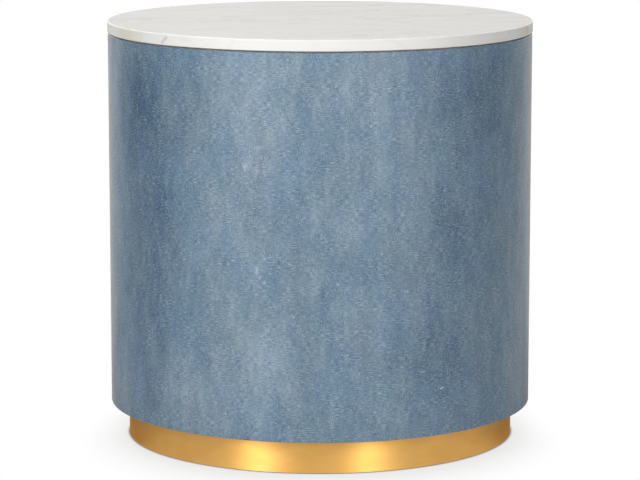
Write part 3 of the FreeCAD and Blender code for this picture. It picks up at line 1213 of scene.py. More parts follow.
def scattered_slubs() -> Growth:
    """The tree for slubs: short thick threads scattered on a face, nearly level or upright.

    Returns:
        The tree.
    """
    tree = Growth("scattered_slubs", {
        "Slub": bpy.types.Mesh, "Spacing": float, "Per Square Metre": float, "Seed": int,
        "Slant": float,
    })
    bench = tree.bench
    seed = tree.given("Seed")

    def chance(kind: str, low: Any, high: Any, draw: float) -> Wire:
        """A value of its own for each slub.

        Args:
            kind: the kind of value.
            low, high: its limits.
            draw: which draw of random numbers it comes from.

        Returns:
            The value.
        """
        made = bench.node("FunctionNodeRandomValue", {"data_type": kind},
                          {"Min": low, "Max": high, "Seed": seed + draw})
        return Wire(bench, next(socket for socket in made.outputs if socket.enabled))

    scattered = bench.out("GeometryNodeDistributePointsOnFaces", {"distribute_method": "POISSON"}, {
        "Mesh": tree.given("Geometry"), "Distance Min": tree.given("Spacing"),
        "Density Max": tree.given("Per Square Metre"), "Seed": seed,
    })
    x, y, _ = bench.parts(bench.out("GeometryNodeInputPosition"))
    outwards = bench.out("FunctionNodeEulerToRotation", inputs={
        "Euler": bench.vector(RIGHT_ANGLE, 0.0, bench.math("ARCTAN2", x, -y)),
    })
    slant = tree.given("Slant")
    turn = chance("INT", 0, 1, 1.0) * RIGHT_ANGLE + chance("FLOAT", -slant, slant, 2.0)
    laid = bench.out("FunctionNodeRotateRotation", {"rotation_space": "LOCAL"}, {
        "Rotation": outwards,
        "Rotate By": bench.out("FunctionNodeAxisAngleToRotation", inputs={"Angle": turn}),
    })
    smallest, largest = (0.35, 0.6, 1.0), (1.3, 1.2, 1.0)
    size = chance("FLOAT_VECTOR", smallest, largest, 3.0)
    return tree.end(tree.set_out(tree.shape("Slub"), scattered, Rotation=laid, Scale=size))


@dataclass(frozen=True)
class ScrewThread:
    """A thread's form, in metres."""

    crest: float
    depth: float
    pitch: float
    steps_a_turn: int

    @property
    def root(self) -> float:
        """The radius at the bottom of the thread."""
        return self.crest - self.depth

    def cut(self, name: str, core: bpy.types.Mesh, places: bpy.types.Mesh, first: float,
            length: float, finish: Finish, tilt: float = 0.0) -> bpy.types.Mesh:
        """Puts a threaded piece at each place.

        Args:
            name: the mesh's name.
            core: one piece without its thread, on the axis.
            places: a mesh of bare points.
            first: the level at which the thread's middle starts.
            length: how far it goes up.
            finish: the pieces' finish.
            tilt: how far they are turned over, in radians.

        Returns:
            The pieces as one mesh.
        """
        return threaded_fasteners().grow(name, places, {
            "Core": core, "Crest Radius": self.crest, "Thread Depth": self.depth,
            "Pitch": self.pitch, "Turns": length / self.pitch, "First Level": first,
            "Steps a Turn": self.steps_a_turn, "Tilt": tilt,
        }, finish)


def at_points(name: str, places: Iterable[Sequence[float]]) -> bpy.types.Mesh:
    """A mesh of bare points.

    Args:
        name: its name.
        places: where they are.

    Returns:
        The mesh.
    """
    made = bpy.data.meshes.new(name)
    made.from_pydata([tuple(place) for place in places], [], [])
    return made


def middle_of(node: str) -> Point:
    """Where the middle of a CAD node's box stands on the floor plan."""
    low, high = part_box(node)
    return ((low.x + high.x) / 2, (low.y + high.y) / 2)


def add_piece(name: str, mesh: bpy.types.Mesh, finish: Finish, body: str,
              replaced: Sequence[str] = ()) -> bpy.types.Object:
    """Puts a finished mesh on its body.

    Args:
        name: the piece's name.
        mesh: its mesh, in place.
        finish: its finish, whose slot names its material.
        body: the CAD body that it rides on.
        replaced: the CAD nodes that it stands for.

    Returns:
        The piece.
    """
    piece = in_scene(name, mesh)
    mesh.materials.clear()
    mesh.materials.append(finish.material())
    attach(piece, body)
    if replaced:
        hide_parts(*replaced)
    LOG.info("%s: %d faces, on %s", name, len(mesh.polygons), body)
    return piece


def finish_nodes(nodes: Iterable[str], finish: Finish) -> None:
    """Gives CAD nodes that stay their material.

    Args:
        nodes: their names.
        finish: their finish.
    """
    for name in nodes:
        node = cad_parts[name]
        node.data.materials.clear()
        node.data.materials.append(finish.material())
        LOG.info("%s: kept, in %s", name, finish.slot)


# ---- the table's sub-assemblies ----


@dataclass
class StoneTop:
    """The marble disc, and the bumpers that it lies on."""

    bumper_count: int = 6
    bumper_circle: float = 195 * MM
    bumper_radius: float = 11 * MM
    bumper_round: float = 0.5 * MM
    bumper_steps: int = 4
    bumper_segments: int = 40
    top_round: float = 1.5 * MM
    top_steps: int = 8
    under_bevel: float = 0.8 * MM
    bevel_knuckle: Point = (0.25, 0.6)
    support: float = 0.5 * MM
    segments: int = 512
    marble: PolishedMarble = field(default_factory=PolishedMarble)
    rubber: ClearRubber = field(default_factory=ClearRubber)

    def profile(self) -> list[Point]:
        """Half of the disc's section.

        Returns:
            (radius, level) points from the bottom of its axis to the top.
        """
        low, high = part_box("marble_top")
        radius, bottom, top = high.x, low.z, high.z
        inwards, upwards = (share * self.under_bevel for share in self.bevel_knuckle)
        return [
            (0.0, bottom),
            (radius - self.under_bevel - self.support, bottom),
            (radius - self.under_bevel, bottom),
            (radius - inwards, bottom + upwards),
            (radius, bottom + self.under_bevel),
            (radius, bottom + self.under_bevel + self.support),
            (radius, top - self.top_round - self.support),
            *arc((radius - self.top_round, top - self.top_round), self.top_round, 0, 90,
                 self.top_steps),
            (radius - self.top_round - self.support, top),
            (0.0, top),
        ]

    def bumpers(self) -> bpy.types.Mesh:
        """The soft discs under the stone, one in the middle and the rest in a ring.

        Returns:
            The discs as one mesh.
        """
        low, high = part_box("marble_bumpers")
        radius, ease = self.bumper_radius, self.bumper_round
        draft = Draft()
        draft.turn([
            (0.0, low.z),
            (radius - ease / 2, low.z),
            (radius, low.z + ease / 2),
            *arc((radius - ease, high.z - ease), ease, 0, 90, self.bumper_steps),
            (0.0, high.z),
        ], self.bumper_segments)
        around = [(x, y, 0.0) for x, y in circle(self.bumper_circle, self.bumper_count)]
        places = at_points("bumper_places", [(0.0, 0.0, 0.0), *around])
        return set_out_discs().grow("stone_bumpers", places, {"Disc": draft.mesh("bumper")},
                                    self.rubber)

    def build(self) -> None:
        """Makes the disc and its bumpers."""
        draft = Draft()
        draft.turn(self.profile(), self.segments)
        add_piece("marble_slab", draft.mesh("marble_slab"), self.marble, "root", ["marble_top"])
        add_piece("stone_bumpers", self.bumpers(), self.rubber, "root", ["marble_bumpers"])


@dataclass(frozen=True)
class StrayThread:
    """A loose thread on the cloth. Angles in degrees, lengths in metres."""

    direction: float
    level: float
    slope: float
    length: float
    radius: float = 0.28 * MM
    bow: float = 0.08
    steps: int = 12

    def lay(self, draft: Draft, drum_radius: float) -> None:
        """Draws the thread on the drum's face.

        Args:
            draft: the mesh to draw it in.
            drum_radius: the radius of that face.
        """
        path = []
        slope = math.radians(self.slope)
        for share in np.linspace(-0.5, 0.5, self.steps + 1):
            along = share * self.length
            aside = self.bow * self.length * (1 - 4 * share * share)
            across = along * math.cos(slope) - aside * math.sin(slope)
            up = along * math.sin(slope) + aside * math.cos(slope)
            turn = math.radians(self.direction) + across / drum_radius
            path.append(Vector((*facing(turn, drum_radius), self.level + up)))
        draft.thread(path, self.radius)


@dataclass
class WrappedDrum:
    """The linen over the drum, and the carcass inside it."""

    thickness: float = 0.8 * MM
    edge_radius: float = 1.2 * MM
    edge_steps: int = 6
    turn_in: float = 19 * MM
    seam_gap: float = 0.3 * MM
    snips: int = 24
    snip_width: float = 0.4 * MM
    snip_margin: float = 2.0 * MM
    columns_in_a_tab: int = 24
    rows_up: int = 12
    linen: WashedLinen = field(default_factory=WashedLinen)
    board: RawBoard = field(default_factory=RawBoard)
    ply: BentPly = field(default_factory=BentPly)
    pine: PlanedSoftwood = field(default_factory=PlanedSoftwood)
    slub: RaisedThread = field(default_factory=RaisedThread)
    slub_length: float = 5.0 * MM
    slub_radius: float = 0.22 * MM
    slub_bow: float = 0.08
    slub_radians_a_metre: float = 900.0
    slub_steps: int = 5
    slub_sides: int = 4
    slub_spacing: float = 24 * MM
    slub_slant: float = 0.35
    slubs_a_square_metre: float = 420.0
    slub_seed: int = 7
    face_margin: float = 3 * MM
    face_segments: int = 256
    stray_threads: tuple[StrayThread, ...] = (
        StrayThread(33.6, 97 * MM, 18.0, 6 * MM, 0.9 * MM),
        StrayThread(48.3, 96 * MM, 10.0, 6 * MM, 0.4 * MM),
        StrayThread(27.1, 119 * MM, -40.0, 5 * MM, 0.4 * MM),
        StrayThread(-16.2, 240 * MM, 84.0, 9 * MM),
        StrayThread(-19.8, 359 * MM, 115.0, 9 * MM),
        StrayThread(44.4, 246 * MM, 28.0, 26 * MM, 0.12 * MM, 0.12),
    )

    def path(self) -> list[Point]:
        """The cloth's outer face from one turned-in edge to the other.

        Returns:
            (radius, level) points.
        """
        low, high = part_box("linen_wrap")
        radius, ease, steps = high.x, self.edge_radius, self.edge_steps
        straight = (low.z + ease, high.z - ease)
        lower = arc((radius - ease, straight[0]), ease, -90, 0, steps)
        upper = arc((radius - ease, straight[1]), ease, 0, 90, steps)
        levels = np.linspace(*straight, self.rows_up + 1)[1:-1]
        return [
            (radius - self.turn_in, low.z),
            (radius - self.snip_margin, low.z),
            *lower,
            *[(radius, level) for level in levels],
            *upper,
            (radius - self.snip_margin, high.z),
            (radius - self.turn_in, high.z),
        ]

    def columns(self) -> tuple[list[float], list[bool]]:
        """The cloth's columns of points round the drum, in tabs between the snips.

        Returns:
            The columns' directions, and whether a snip follows each.
        """
        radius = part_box("linen_wrap")[1].x
        tab = FULL_TURN / self.snips
        half_snip = self.snip_width / 2 / radius
        first, last = seam_sides(self.seam_gap, radius)
        directions: list[float] = []
        cut_after: list[bool] = []
        for n in range(self.snips + 1):
            centre = n * tab - math.pi
            start = max(centre - tab / 2 + half_snip, first)
            end = min(centre + tab / 2 - half_snip, last)
            steps = max(round(self.columns_in_a_tab * (end - start) / tab), 1)
            directions += [float(turn) for turn in np.linspace(start, end, steps + 1)]
            cut_after += [False] * steps + [True]
        return directions, cut_after

    def cloth(self) -> bpy.types.Mesh:
        """The cloth's outer face, snipped where it turns in, with its map in metres.

        Returns:
            The face, without thickness.
        """
        path = self.path()
        directions, cut_after = self.columns()
        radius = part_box("linen_wrap")[1].x
        laid = np.cumsum([0.0] + [math.dist(a, b) for a, b in zip(path, path[1:])])
        face_start = 2 + self.edge_steps
        up = laid - laid[face_start] + self.edge_radius
        draft = Draft()
        rows = [draft.row((*facing(turn, r), level) for turn in directions) for r, level in path]
        for number, (lower, upper) in enumerate(zip(rows, rows[1:])):
            turned_in = number in (0, len(rows) - 2)
            draft.faces += [
                (lower[i], lower[i + 1], upper[i + 1], upper[i])
                for i in range(len(directions) - 1) if not (turned_in and cut_after[i])
            ]
        made = draft.mesh("linen_cloth", closed=False)
        flat = np.array([(turn * radius, height) for height in up for turn in directions])
        corners = np.zeros(len(made.loops), dtype=np.int32)
        made.loops.foreach_get("vertex_index", corners)
        layer = made.uv_layers.new(name=self.linen.uv_map)
        layer.data.foreach_set("uv", flat[corners].astype(np.float32).ravel())
        return made

    def face(self) -> bpy.types.Mesh:
        """The drum's upright face, clear of its rounded edges, for slubs to lie on.

        Returns:
            The face, from one side of the seam to the other.
        """
        low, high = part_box("linen_wrap")
        levels = (low.z + self.face_margin, high.z - self.face_margin)
        draft = Draft()
        rows = [
            draft.row((*facing(turn, high.x), level) for level in levels)
            for turn in np.linspace(*seam_sides(self.seam_gap, high.x), self.face_segments + 1)
        ]
        draft.faces = [(near[0], *far, near[1]) for near, far in zip(rows, rows[1:])]
        return draft.mesh("drum_face", closed=False)

    def slubs(self) -> bpy.types.Mesh:
        """The scattered slubs and the stray threads, half sunk in the cloth's face.

        Returns:
            All of them as one mesh.
        """
        length, count = self.slub_length, self.slub_steps
        path = []
        for along in (length * (i / count - 0.5) for i in range(count + 1)):
            aside = self.slub_bow * length * math.sin(self.slub_radians_a_metre * along)
            path.append(Vector((along, aside, 0.0)))
        single = Draft()
        single.thread(path, self.slub_radius, self.slub_sides)
        grown = scattered_slubs().grow("linen_slubs", self.face(), {
            "Slub": single.mesh("slub"), "Spacing": self.slub_spacing, "Slant": self.slub_slant,
            "Per Square Metre": self.slubs_a_square_metre, "Seed": self.slub_seed,
        }, self.slub)
        strays = Draft()
        for stray in self.stray_threads:
            stray.lay(strays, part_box("linen_wrap")[1].x)
        work = bmesh.new()
        work.from_mesh(grown)
        work.from_mesh(strays.mesh("stray_threads"))
        work.to_mesh(grown)
        work.free()
        return grown

    def build(self) -> None:
        """Makes the cloth and finishes the carcass."""
        cloth = add_piece("linen_cloth", self.cloth(), self.linen, "root", ["linen_wrap"])
        solid = cloth.modifiers.new("thickness", "SOLIDIFY")
        solid.thickness = self.thickness
        solid.offset = -1.0
        slubs = add_piece("linen_slubs", self.slubs(), self.slub, "root")
        struts = [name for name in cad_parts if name.removeprefix("strut_").isdigit()]
        finish_nodes(["subtop_panel", "bottom_panel", "mid_former"], self.board)
        finish_nodes(["outer_ply_skin", "inner_ply_skin"], self.ply)
        finish_nodes(struts, self.pine)


@dataclass
class BandedPlinth:
    """The plinth's two rings of board, and the brass band round them."""

    thickness: float = 1.0 * MM
    edge_round: float = 0.25 * MM
    edge_steps: int = 3
    support: float = 0.3 * MM
    seam_gap: float = 0.3 * MM
    segments: int = 512
    brass: SatinBrass = field(default_factory=SatinBrass)
    board: RawBoard = field(default_factory=RawBoard)

    def section(self) -> list[Point]:
        """The strip's section, with its four edges eased.

        Returns:
            (radius, level) points, anticlockwise.
        """
        low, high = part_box("plinth_band")
        outer, inner = high.x, high.x - self.thickness
        ease = self.edge_round
        bottom, top = low.z + ease, high.z - ease
        held = (bottom + self.support, top - self.support)

        def corner(radius: float, level: float, first: float) -> list[Point]:
            """An eased corner, by its centre and the angle where it starts."""
            return arc((radius, level), ease, first, first + 90, self.edge_steps)

        return [
            *corner(inner + ease, bottom, 180), *corner(outer - ease, bottom, 270),
            *[(outer, level) for level in held],
            *corner(outer - ease, top, 0), *corner(inner + ease, top, 90),
            *[(inner, level) for level in reversed(held)],
        ]

    def build(self) -> None:
        """Makes the band and finishes the rings."""
        draft = Draft()
        draft.bend(self.section(), self.seam_gap, self.segments)
        add_piece("brass_band", draft.mesh("brass_band"), self.brass, "root", ["plinth_band"])
        finish_nodes(["plinth_ring_upper", "plinth_ring_lower"], self.board)


class Facing(Enum):
    """Which way a screw points, by how far it is turned over."""

    DOWN = 0.0
    UP = math.pi


@dataclass(frozen=True)
class ScrewSet:
    """Equal screws in one CAD node."""

    node: str
    facing: Facing
    length: float
    places: list[Point]

    def heads(self) -> bpy.types.Mesh:
        """Where the middles of the heads are.

        Returns:
            A mesh of bare points.
        """
        low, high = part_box(self.node)
        level = high.z if self.facing is Facing.DOWN else low.z
        return at_points("screw_places", [(x, y, level) for x, y in self.places])


@dataclass
class WoodScrews:
    """The countersunk board screws, with cross recess, smooth neck, thread and point."""

    head_radius: float = 4.5 * MM
    head_rim: float = 0.3 * MM
    head_break: float = 0.1 * MM
    head_depth: float = 3.6 * MM
    neck_radius: float = 1.75 * MM
    neck_fillet: Point = (0.15 * MM, 0.6 * MM)
    neck_end: float = 0.5 * MM
    thread: ScrewThread = ScrewThread(2.2 * MM, 0.72 * MM, 2.6 * MM, 14)
    threaded_share: float = 0.62
    point_length: float = 5.0 * MM
    threaded_point: float = 0.5
    tip: Point = (0.3, 0.8 * MM)
    recess_depth: float = 2.3 * MM
    arm_reach: float = 2.5 * MM
    arm_half_width: float = 0.7 * MM
    recess_taper: Point = (0.5, 0.8)
    segments: int = 32
    strut_count: int = 8
    strut_screw_length: float = 60 * MM
    plinth_screw_length: float = 35 * MM
    plinth_screw_circle: float = 210 * MM
    plinth_screw_count: int = 4
    zinc: ZincPlate = field(default_factory=ZincPlate)

    def cross(self, reach: float, half_width: float) -> list[Point]:
        """The outline of a cross recess.

        Args:
            reach: how far its arms reach.
            half_width: half of an arm's width.

        Returns:
            (x, y) points, anticlockwise.
        """
        arm = ((reach, -half_width), (reach, half_width), (half_width, half_width))
        turns = [(math.cos(turn), math.sin(turn)) for turn in np.arange(4) * RIGHT_ANGLE]
        return [(x * cos - y * sin, x * sin + y * cos) for cos, sin in turns for x, y in arm]

    def core(self, length: float) -> bpy.types.Mesh:
        """A screw without its thread, pointing down from the origin.

        Args:
            length: its length with the head.

        Returns:
            Its mesh.
        """
        root = self.thread.root
        tip_share, tip_length = self.tip
        thread_top = -length * (1 - self.threaded_share)
        flare, flare_length = self.neck_fillet
        draft = Draft()
        rim = draft.turn([
            (0.0, -length),
            (tip_share * root, -length + tip_length),
            (root, -length + self.point_length),
            (root, thread_top - self.neck_end),
            (self.neck_radius, thread_top + self.neck_end),
            (self.neck_radius, -self.head_depth - flare_length),
            (self.neck_radius + flare, -self.head_depth),
            (self.head_radius - self.head_break, -self.head_rim - self.head_break),
            (self.head_radius, -self.head_rim),
            (self.head_radius, -self.head_break),
            (self.head_radius - self.head_break, 0.0),
        ], self.segments)
        arm = (self.arm_reach, self.arm_half_width)
        arm_below = (size * share for size, share in zip(arm, self.recess_taper))
        mouth = draft.ring(self.cross(*arm), 0.0)
        floor = draft.ring(self.cross(*arm_below), -self.recess_depth)
        draft.fill(rim, mouth)
        draft.grid([floor, mouth])
        draft.fill(floor)
        return draft.mesh("screw_core")

    def sets(self) -> list[ScrewSet]:
        """Where the screws stand.

        Returns:
            A set for each CAD node of screws.
        """
        struts = [middle_of(f"strut_{n}") for n in range(1, self.strut_count + 1)]
        plinth = circle(self.plinth_screw_circle, self.plinth_screw_count, 0.5)
        return [
            ScrewSet("strut_screws_top", Facing.DOWN, self.strut_screw_length, struts),
            ScrewSet("strut_screws_bottom", Facing.UP, self.strut_screw_length, struts),
            ScrewSet("plinth_screws", Facing.DOWN, self.plinth_screw_length, plinth),
        ]

    def build(self) -> None:
        """Makes the screws, a node's at a time."""
        bare_point = self.point_length * self.threaded_point
        for screws in self.sets():
            mesh = self.thread.cut(
                f"{screws.node}_set", self.core(screws.length), screws.heads(),
                -screws.length + bare_point + self.thread.depth,
                screws.length * self.threaded_share - bare_point, self.zinc, screws.facing.value)
            add_piece(f"{screws.node}_set", mesh, self.zinc, "root", [screws.node])


@dataclass
class Levellers:
    """The four screw levellers: insert, stud with its spanner hexagon, and moulded foot."""

    count: int = 4
    stud_thread: ScrewThread = ScrewThread(4.0 * MM, 0.6 * MM, 1.25 * MM, 24)
    tip_break: float = 1.0 * MM
    threaded_tip: float = 0.6
    across_flats: float = 13.0 * MM
    hexagon_low: float = 5.1 * MM
    hexagon_high: float = 8.6 * MM
    hexagon_ease: float = 0.35 * MM
    pivot_radius: float = 3.5 * MM
    flange_radius: float = 5.0 * MM
    flange_low: float = 1.9 * MM
    flange_high: float = 2.9 * MM
    running_gap: float = 0.1 * MM
    foot_radius: float = 16.0 * MM
    foot_height: float = 5.0 * MM
    rib: float = 0.45 * MM
    rib_count: int = 36
    rib_rise: float = 0.3 * MM
    rib_ease: float = 0.15 * MM
    rib_turns: Span = (-60, 60)
    rib_steps: int = 4
    sole_radius: float = 14.5 * MM
    sole_groove: float = 0.35 * MM
    sole_grooves: tuple[float, ...] = (4.5 * MM, 8.0 * MM, 11.5 * MM)
    rim_round: float = 1.0 * MM
    rim_turns: Span = (15, 90)
    rim_steps: int = 5
    neck_ease: float = 0.25 * MM
    insert_bore: float = 4.05 * MM
    insert_flange: float = 11.0 * MM
    insert_flange_high: float = 10.0 * MM
    insert_break: float = 0.3 * MM
    insert_thread: ScrewThread = ScrewThread(5.5 * MM, 0.6 * MM, 2.2 * MM, 24)
    segments: int = 64
    zinc: ZincPlate = field(default_factory=ZincPlate)
    nylon: MouldedNylon = field(default_factory=MouldedNylon)

    def stud(self, here: bpy.types.Mesh) -> bpy.types.Mesh:
        """The stud: a flange held in the foot, a neck, the hexagon, and the screw.

        Args:
            here: a bare point on the axis.

        Returns:
            Its mesh, on the axis.
        """
        low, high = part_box("leveller_stud_1")
        root, gap = self.stud_thread.root, self.running_gap
        into_hexagon = (self.hexagon_low + self.hexagon_ease, self.hexagon_high - self.hexagon_ease)
        draft = Draft()
        draft.turn([
            (0.0, low.z),
            (self.flange_radius - gap, low.z),
            (self.flange_radius, low.z + gap),
            (self.flange_radius, self.flange_high - gap),
            (self.flange_radius - gap, self.flange_high),
            (self.pivot_radius, self.flange_high),
            (self.pivot_radius, into_hexagon[0]),
            (0.0, into_hexagon[0]),
        ], self.segments)
        draft.prism(circle(self.across_flats / math.sqrt(3), 6), self.hexagon_low,
                    self.hexagon_high, self.hexagon_ease)
        draft.turn([
            (0.0, into_hexagon[1]),
            (root, into_hexagon[1]),
            (root, high.z - self.tip_break),
            (root - self.tip_break, high.z),
            (0.0, high.z),
        ], self.segments)
        length = high.z - self.tip_break * self.threaded_tip - self.hexagon_high
        return self.stud_thread.cut(
            "leveller_stud", draft.mesh("stud_core"), here,
            self.hexagon_high + self.stud_thread.depth, length - self.stud_thread.pitch, self.zinc)

    def insert(self, here: bpy.types.Mesh) -> bpy.types.Mesh:
        """The insert: a flange under the board, and a barrel with an outer thread.

        Args:
            here: a bare point on the axis.

        Returns:
            Its mesh, on the axis.
        """
        low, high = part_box("leveller_insert_1")
        root, depth = self.insert_thread.root, self.insert_thread.depth
        flange, edge, top = self.insert_flange, self.insert_break, self.insert_flange_high
        draft = Draft()
        draft.turn([
            (self.insert_bore, low.z),
            (flange - edge, low.z),
            (flange, low.z + edge),
            (flange, top - edge),
            (flange - edge, top),
            (root, top),
            (root, high.z),
            (self.insert_bore, high.z),
            (self.insert_bore, low.z),
        ], self.segments)
        return self.insert_thread.cut(
            "leveller_insert", draft.mesh("insert_core"), here, top + depth,
            high.z - top - 2 * depth, self.zinc)

    def foot(self) -> bpy.types.Mesh:
        """The foot, with a ribbed rim, a grooved sole and the cavity round the stud's flange.

        Returns:
            Its mesh, on the axis.
        """
        gap, groove, top = self.running_gap, self.sole_groove, self.foot_height
        body = self.foot_radius - self.rib
        neck, cavity = self.pivot_radius + gap, self.flange_radius + gap
        rim_start = top - self.rim_round
        sole_rise = self.foot_radius - self.sole_radius
        sole = [
            point for radius in self.sole_grooves
            for point in ((radius - groove, 0.0), (radius, groove), (radius + groove, 0.0))
        ]
        draft = Draft()
        draft.turn([
            (0.0, 0.0),
            *sole,
            (self.sole_radius, 0.0),
            (body, sole_rise),
            (body, rim_start),
            *arc((body - self.rim_round, rim_start), self.rim_round, *self.rim_turns,
                 self.rim_steps),
            (neck + self.neck_ease, top),
            (neck, top - self.neck_ease),
            (neck, self.flange_high + gap),
            (cavity, self.flange_high + gap),
            (cavity, self.flange_low - gap),
            (0.0, self.flange_low - gap),
        ], self.segments)
        rib = Draft()
        nose = arc((0.0, 0.0), self.rib, *self.rib_turns, self.rib_steps)
        rib.prism([(-self.rib, -self.rib), *nose, (-self.rib, self.rib)],
                  sole_rise + self.rib_rise, rim_start, self.rib_ease)
        return ribbed_rims().grow("leveller_foot", draft.mesh("foot_body"), {
            "Rib": rib.mesh("foot_rib"), "Count": self.rib_count, "Radius": body,
        }, self.nylon)

    def build(self) -> None:
        """Makes each leveller's three pieces, on their bodies."""
        here = at_points("axis_point", [(0.0, 0.0, 0.0)])
        stud, insert, foot = self.stud(here), self.insert(here), self.foot()
        for n in range(1, self.count + 1):
            x, y = middle_of(f"leveller_stud_{n}")
            for mesh, finish, body in ((insert, self.zinc, "root"), (stud, self.zinc, f"stud_{n}"),
                                       (foot, self.nylon, f"foot_{n}")):
                placed = mesh.copy()
                placed.transform(Matrix.Translation((x, y, 0.0)))
                add_piece(f"{mesh.name}_piece_{n}", placed, finish, body, [f"{mesh.name}_{n}"])


# ---- studio ----


def soft_lamp(name: str, width: float, height: float, power: float,
              tint: Sequence[float] = WHITE[:3]) -> bpy.types.Object:
    """A soft oblong lamp.

    Args:
        name: its name.
        width, height: its sides, in metres.
        power: in watts.
        tint: the colour of its light.

    Returns:
        The lamp, at the origin and facing down.
    """
    data = bpy.data.lights.new(name, "AREA")
    data.shape = "RECTANGLE"
    data.size, data.size_y = width, height
    data.energy = power
    data.color = tint
    return in_scene(name, data)


@dataclass(frozen=True)
class SoftBox:
    """A tall soft lamp that faces the table's middle. Sizes in metres, power in watts."""

    name: str
    direction: float
    level: float
    width: float
    height: float
    power: float
    tint: tuple[float, float, float] = (1.0, 1.0, 1.0)
    distance: float = 2.4

    def build(self, target: float) -> None:
        """Stands the lamp, aimed at the axis.

        Args:
            target: the level that it is aimed at.
        """
        lamp = soft_lamp(self.name, self.width, self.height, self.power, self.tint)
        turn = math.radians(self.direction)
        tilt = math.atan2(self.level - target, self.distance)
        lamp.location = (*facing(turn, self.distance), self.level)
        lamp.rotation_euler = (RIGHT_ANGLE - tilt, 0.0, turn)


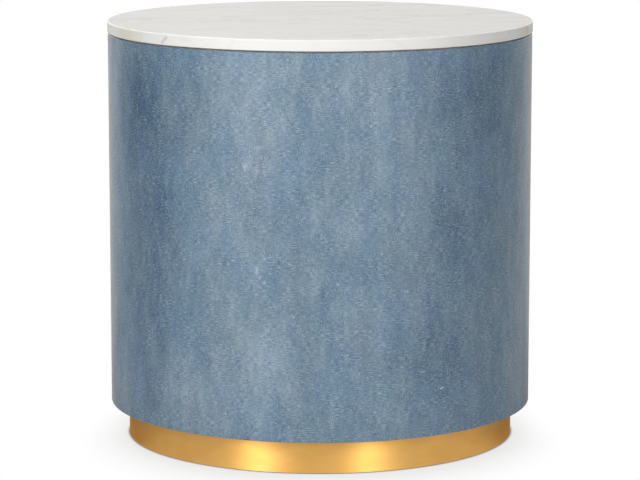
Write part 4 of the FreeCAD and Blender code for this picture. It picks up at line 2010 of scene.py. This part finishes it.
@dataclass
class Studio:
    """The pale floor, the white surround, the lamps and the camera.

    Floor levels are shares of white. Pairs of numbers are the two ends of a smooth rise: distances
    from the table's axis in metres, or shares of that distance to the back for dull_sides and
    bright_back.
    """

    lens: float = 169.3
    camera_distance: float = 3.6
    camera_level: float = 0.8363
    camera_pitch: float = 0.1656
    camera_sight: float = 100.0
    floor_size: float = 24.0
    floor_colour: Colour = srgb(180, 180, 180)
    floor_in_front: float = 0.87
    floor_aside: float = 0.43
    floor_behind: float = 0.12
    floor_lean: float = 0.06
    floor_dimmed: float = 0.3
    dull_sides: Span = (-0.52, -0.1)
    dull_reach: Span = (0.3, 0.45)
    dulling: float = 0.75
    bright_back: Span = (0.66, 0.78)
    bright_reach: Span = (0.45, 0.7)
    floor_glow: float = 0.14
    under_glow: float = 0.5
    under_reach: Span = (0.23, 0.15)
    shadow_aside: Span = (0.19, 0.29)
    shadow_in_front: Span = (0.16, 0.36)
    shadow_white: float = 0.65
    # painted shadow: these rises set a dark ring round the plinth's foot, where the floor's white
    # gives way to its grey matt face
    contact_shadow_aside: Span = (0.2315, 0.2365)
    contact_shadow_in_front: Span = (0.2245, 0.2335)
    ambient: float = 0.064
    surround: float = 0.64
    boxes: tuple[SoftBox, ...] = (
        SoftBox("left_softbox", -35.0, 1.05, 0.55, 1.9, 28.0),
        SoftBox("right_softbox", 28.0, 1.05, 0.45, 1.9, 22.0),
        SoftBox("back_left_softbox", -152.0, 1.25, 0.6, 1.3, 9.5, (1.0, 0.86, 0.72)),
        SoftBox("back_right_softbox", 152.0, 1.25, 0.6, 1.3, 9.5, (1.0, 0.86, 0.72)),
        SoftBox("back_high_softbox", 180.0, 1.9, 0.9, 0.8, 14.0),
    )
    overhead_power: float = 20.0
    overhead_place: Place = (-0.5, 0.0, 2.2)
    overhead_size: float = 1.6

    def camera(self) -> None:
        """Stands the camera in front of the table, a little above it."""
        data = bpy.data.cameras.new("camera")
        data.lens = self.lens
        data.clip_end = self.camera_sight
        eye = in_scene("camera", data)
        eye.location = (0.0, -self.camera_distance, self.camera_level)
        eye.rotation_euler = (RIGHT_ANGLE - self.camera_pitch, 0.0, 0.0)
        bpy.context.scene.camera = eye

    def floor(self) -> None:
        """Lays a square floor that shows only from above."""
        half = self.floor_size / 2
        mesh = bpy.data.meshes.new("floor")
        corners = [(-half, -half, 0), (half, -half, 0), (half, half, 0), (-half, half, 0)]
        mesh.from_pydata(corners, [], [range(4)])
        mesh.materials.append(self.floor_finish())
        in_scene("floor", mesh)

    def floor_finish(self) -> bpy.types.Material:
        """A matt floor with the table's shadow near it, which fades to white away from it.

        Returns:
            The material.
        """
        material = bpy.data.materials.new("floor")
        bench = Bench.within(material)
        glow = bench.out("ShaderNodeEmission", inputs={"Color": WHITE, "Strength": 1.0})
        clear = bench.out("ShaderNodeBsdfTransparent")
        path = bench.node("ShaderNodeLightPath")
        seen, mirrored, lighting = (
            bench.wire(path, f"Is {kind} Ray") for kind in ("Camera", "Glossy", "Diffuse"))
        colour = bench.mix(mirrored * self.floor_dimmed, self.floor_colour, BLACK)
        matt = bench.out("ShaderNodeBsdfDiffuse", inputs={"Color": colour})

        x, y, _ = bench.parts(bench.out("ShaderNodeTexCoord", key="Object"))
        far = bench.length(x, y)
        across, behind = x / far, y / far
        toward = bench.math("MAXIMUM", -behind, 0.0)

        def spread(aside: Span, in_front: Span) -> Wire:
            """A rise outwards whose ends differ beside the table and in front of it."""
            ends = (side + toward * (front - side) for side, front in zip(aside, in_front))
            return far.rise(*ends)

        shadow = spread(self.shadow_aside, self.shadow_in_front)
        white = shadow * (1 - self.shadow_white) + self.shadow_white
        # painted shadow round the plinth's foot, with the real shade under the band inside it
        gap = spread(self.contact_shadow_aside, self.contact_shadow_in_front)
        under = far.rise(*self.under_reach) * self.under_glow
        factor = (seen * white * gap + mirrored * self.mirrored(far, across, behind)
                  + lighting * (self.floor_glow + under))
        below = bench.out("ShaderNodeNewGeometry", key="Backfacing")
        lit = bench.blend(factor, matt, glow)
        bench.node("ShaderNodeOutputMaterial", inputs={"Surface": bench.blend(below, lit, clear)})
        return material

    def mirrored(self, far: Wire, across: Wire, behind: Wire) -> Wire:
        """How bright the floor looks in a reflection, by the place that is mirrored.

        Args:
            far: distance from the table's axis, m.
            across: share of that distance to the right, -1 to 1.
            behind: share of that distance to the back, -1 to 1.

        Returns:
            The strength, where 1 is white.
        """
        fall = self.floor_in_front - self.floor_aside
        level = self.floor_aside - behind * fall + across * self.floor_lean
        level = far.bench.math("MAXIMUM", level, self.floor_behind)
        dull = behind.rise(*self.dull_sides) * (1 - far.rise(*self.dull_reach)) * self.dulling
        return level * (1 - dull) + behind.rise(*self.bright_back) * far.rise(*self.bright_reach)

    def world(self) -> None:
        """A white surround for what sees it, and a plain level of light on the table."""
        world = bpy.data.worlds.new("surround")
        bpy.context.scene.world = world
        bench = Bench.within(world)
        path = bench.node("ShaderNodeLightPath")
        seen, through, mirrored = (
            bench.wire(path, f"Is {kind} Ray") for kind in ("Camera", "Transmission", "Glossy"))
        level = self.ambient + mirrored * (self.surround - self.ambient)
        strength = level + bench.math("MAXIMUM", seen, through) * (1 - level)
        white = bench.out("ShaderNodeBackground", inputs={"Color": WHITE, "Strength": strength})
        bench.node("ShaderNodeOutputWorld", inputs={"Surface": white})

    def build(self) -> None:
        """Sets up the whole studio."""
        bpy.context.scene.view_settings.view_transform = "Standard"
        self.camera()
        self.floor()
        self.world()
        overhead = soft_lamp("overhead_softbox", self.overhead_size, self.overhead_size,
                             self.overhead_power)
        overhead.location = self.overhead_place
        for box in self.boxes:
            box.build((CAD_BOX[0].z + CAD_BOX[1].z) / 2)


def main() -> None:
    """Builds the table's sub-assemblies and the studio."""
    logging.basicConfig(level=logging.INFO, format="%(message)s")
    for part in (StoneTop(), WrappedDrum(), BandedPlinth(), WoodScrews(), Levellers(), Studio()):
        part.build()


if __name__ == "__main__":
    main()
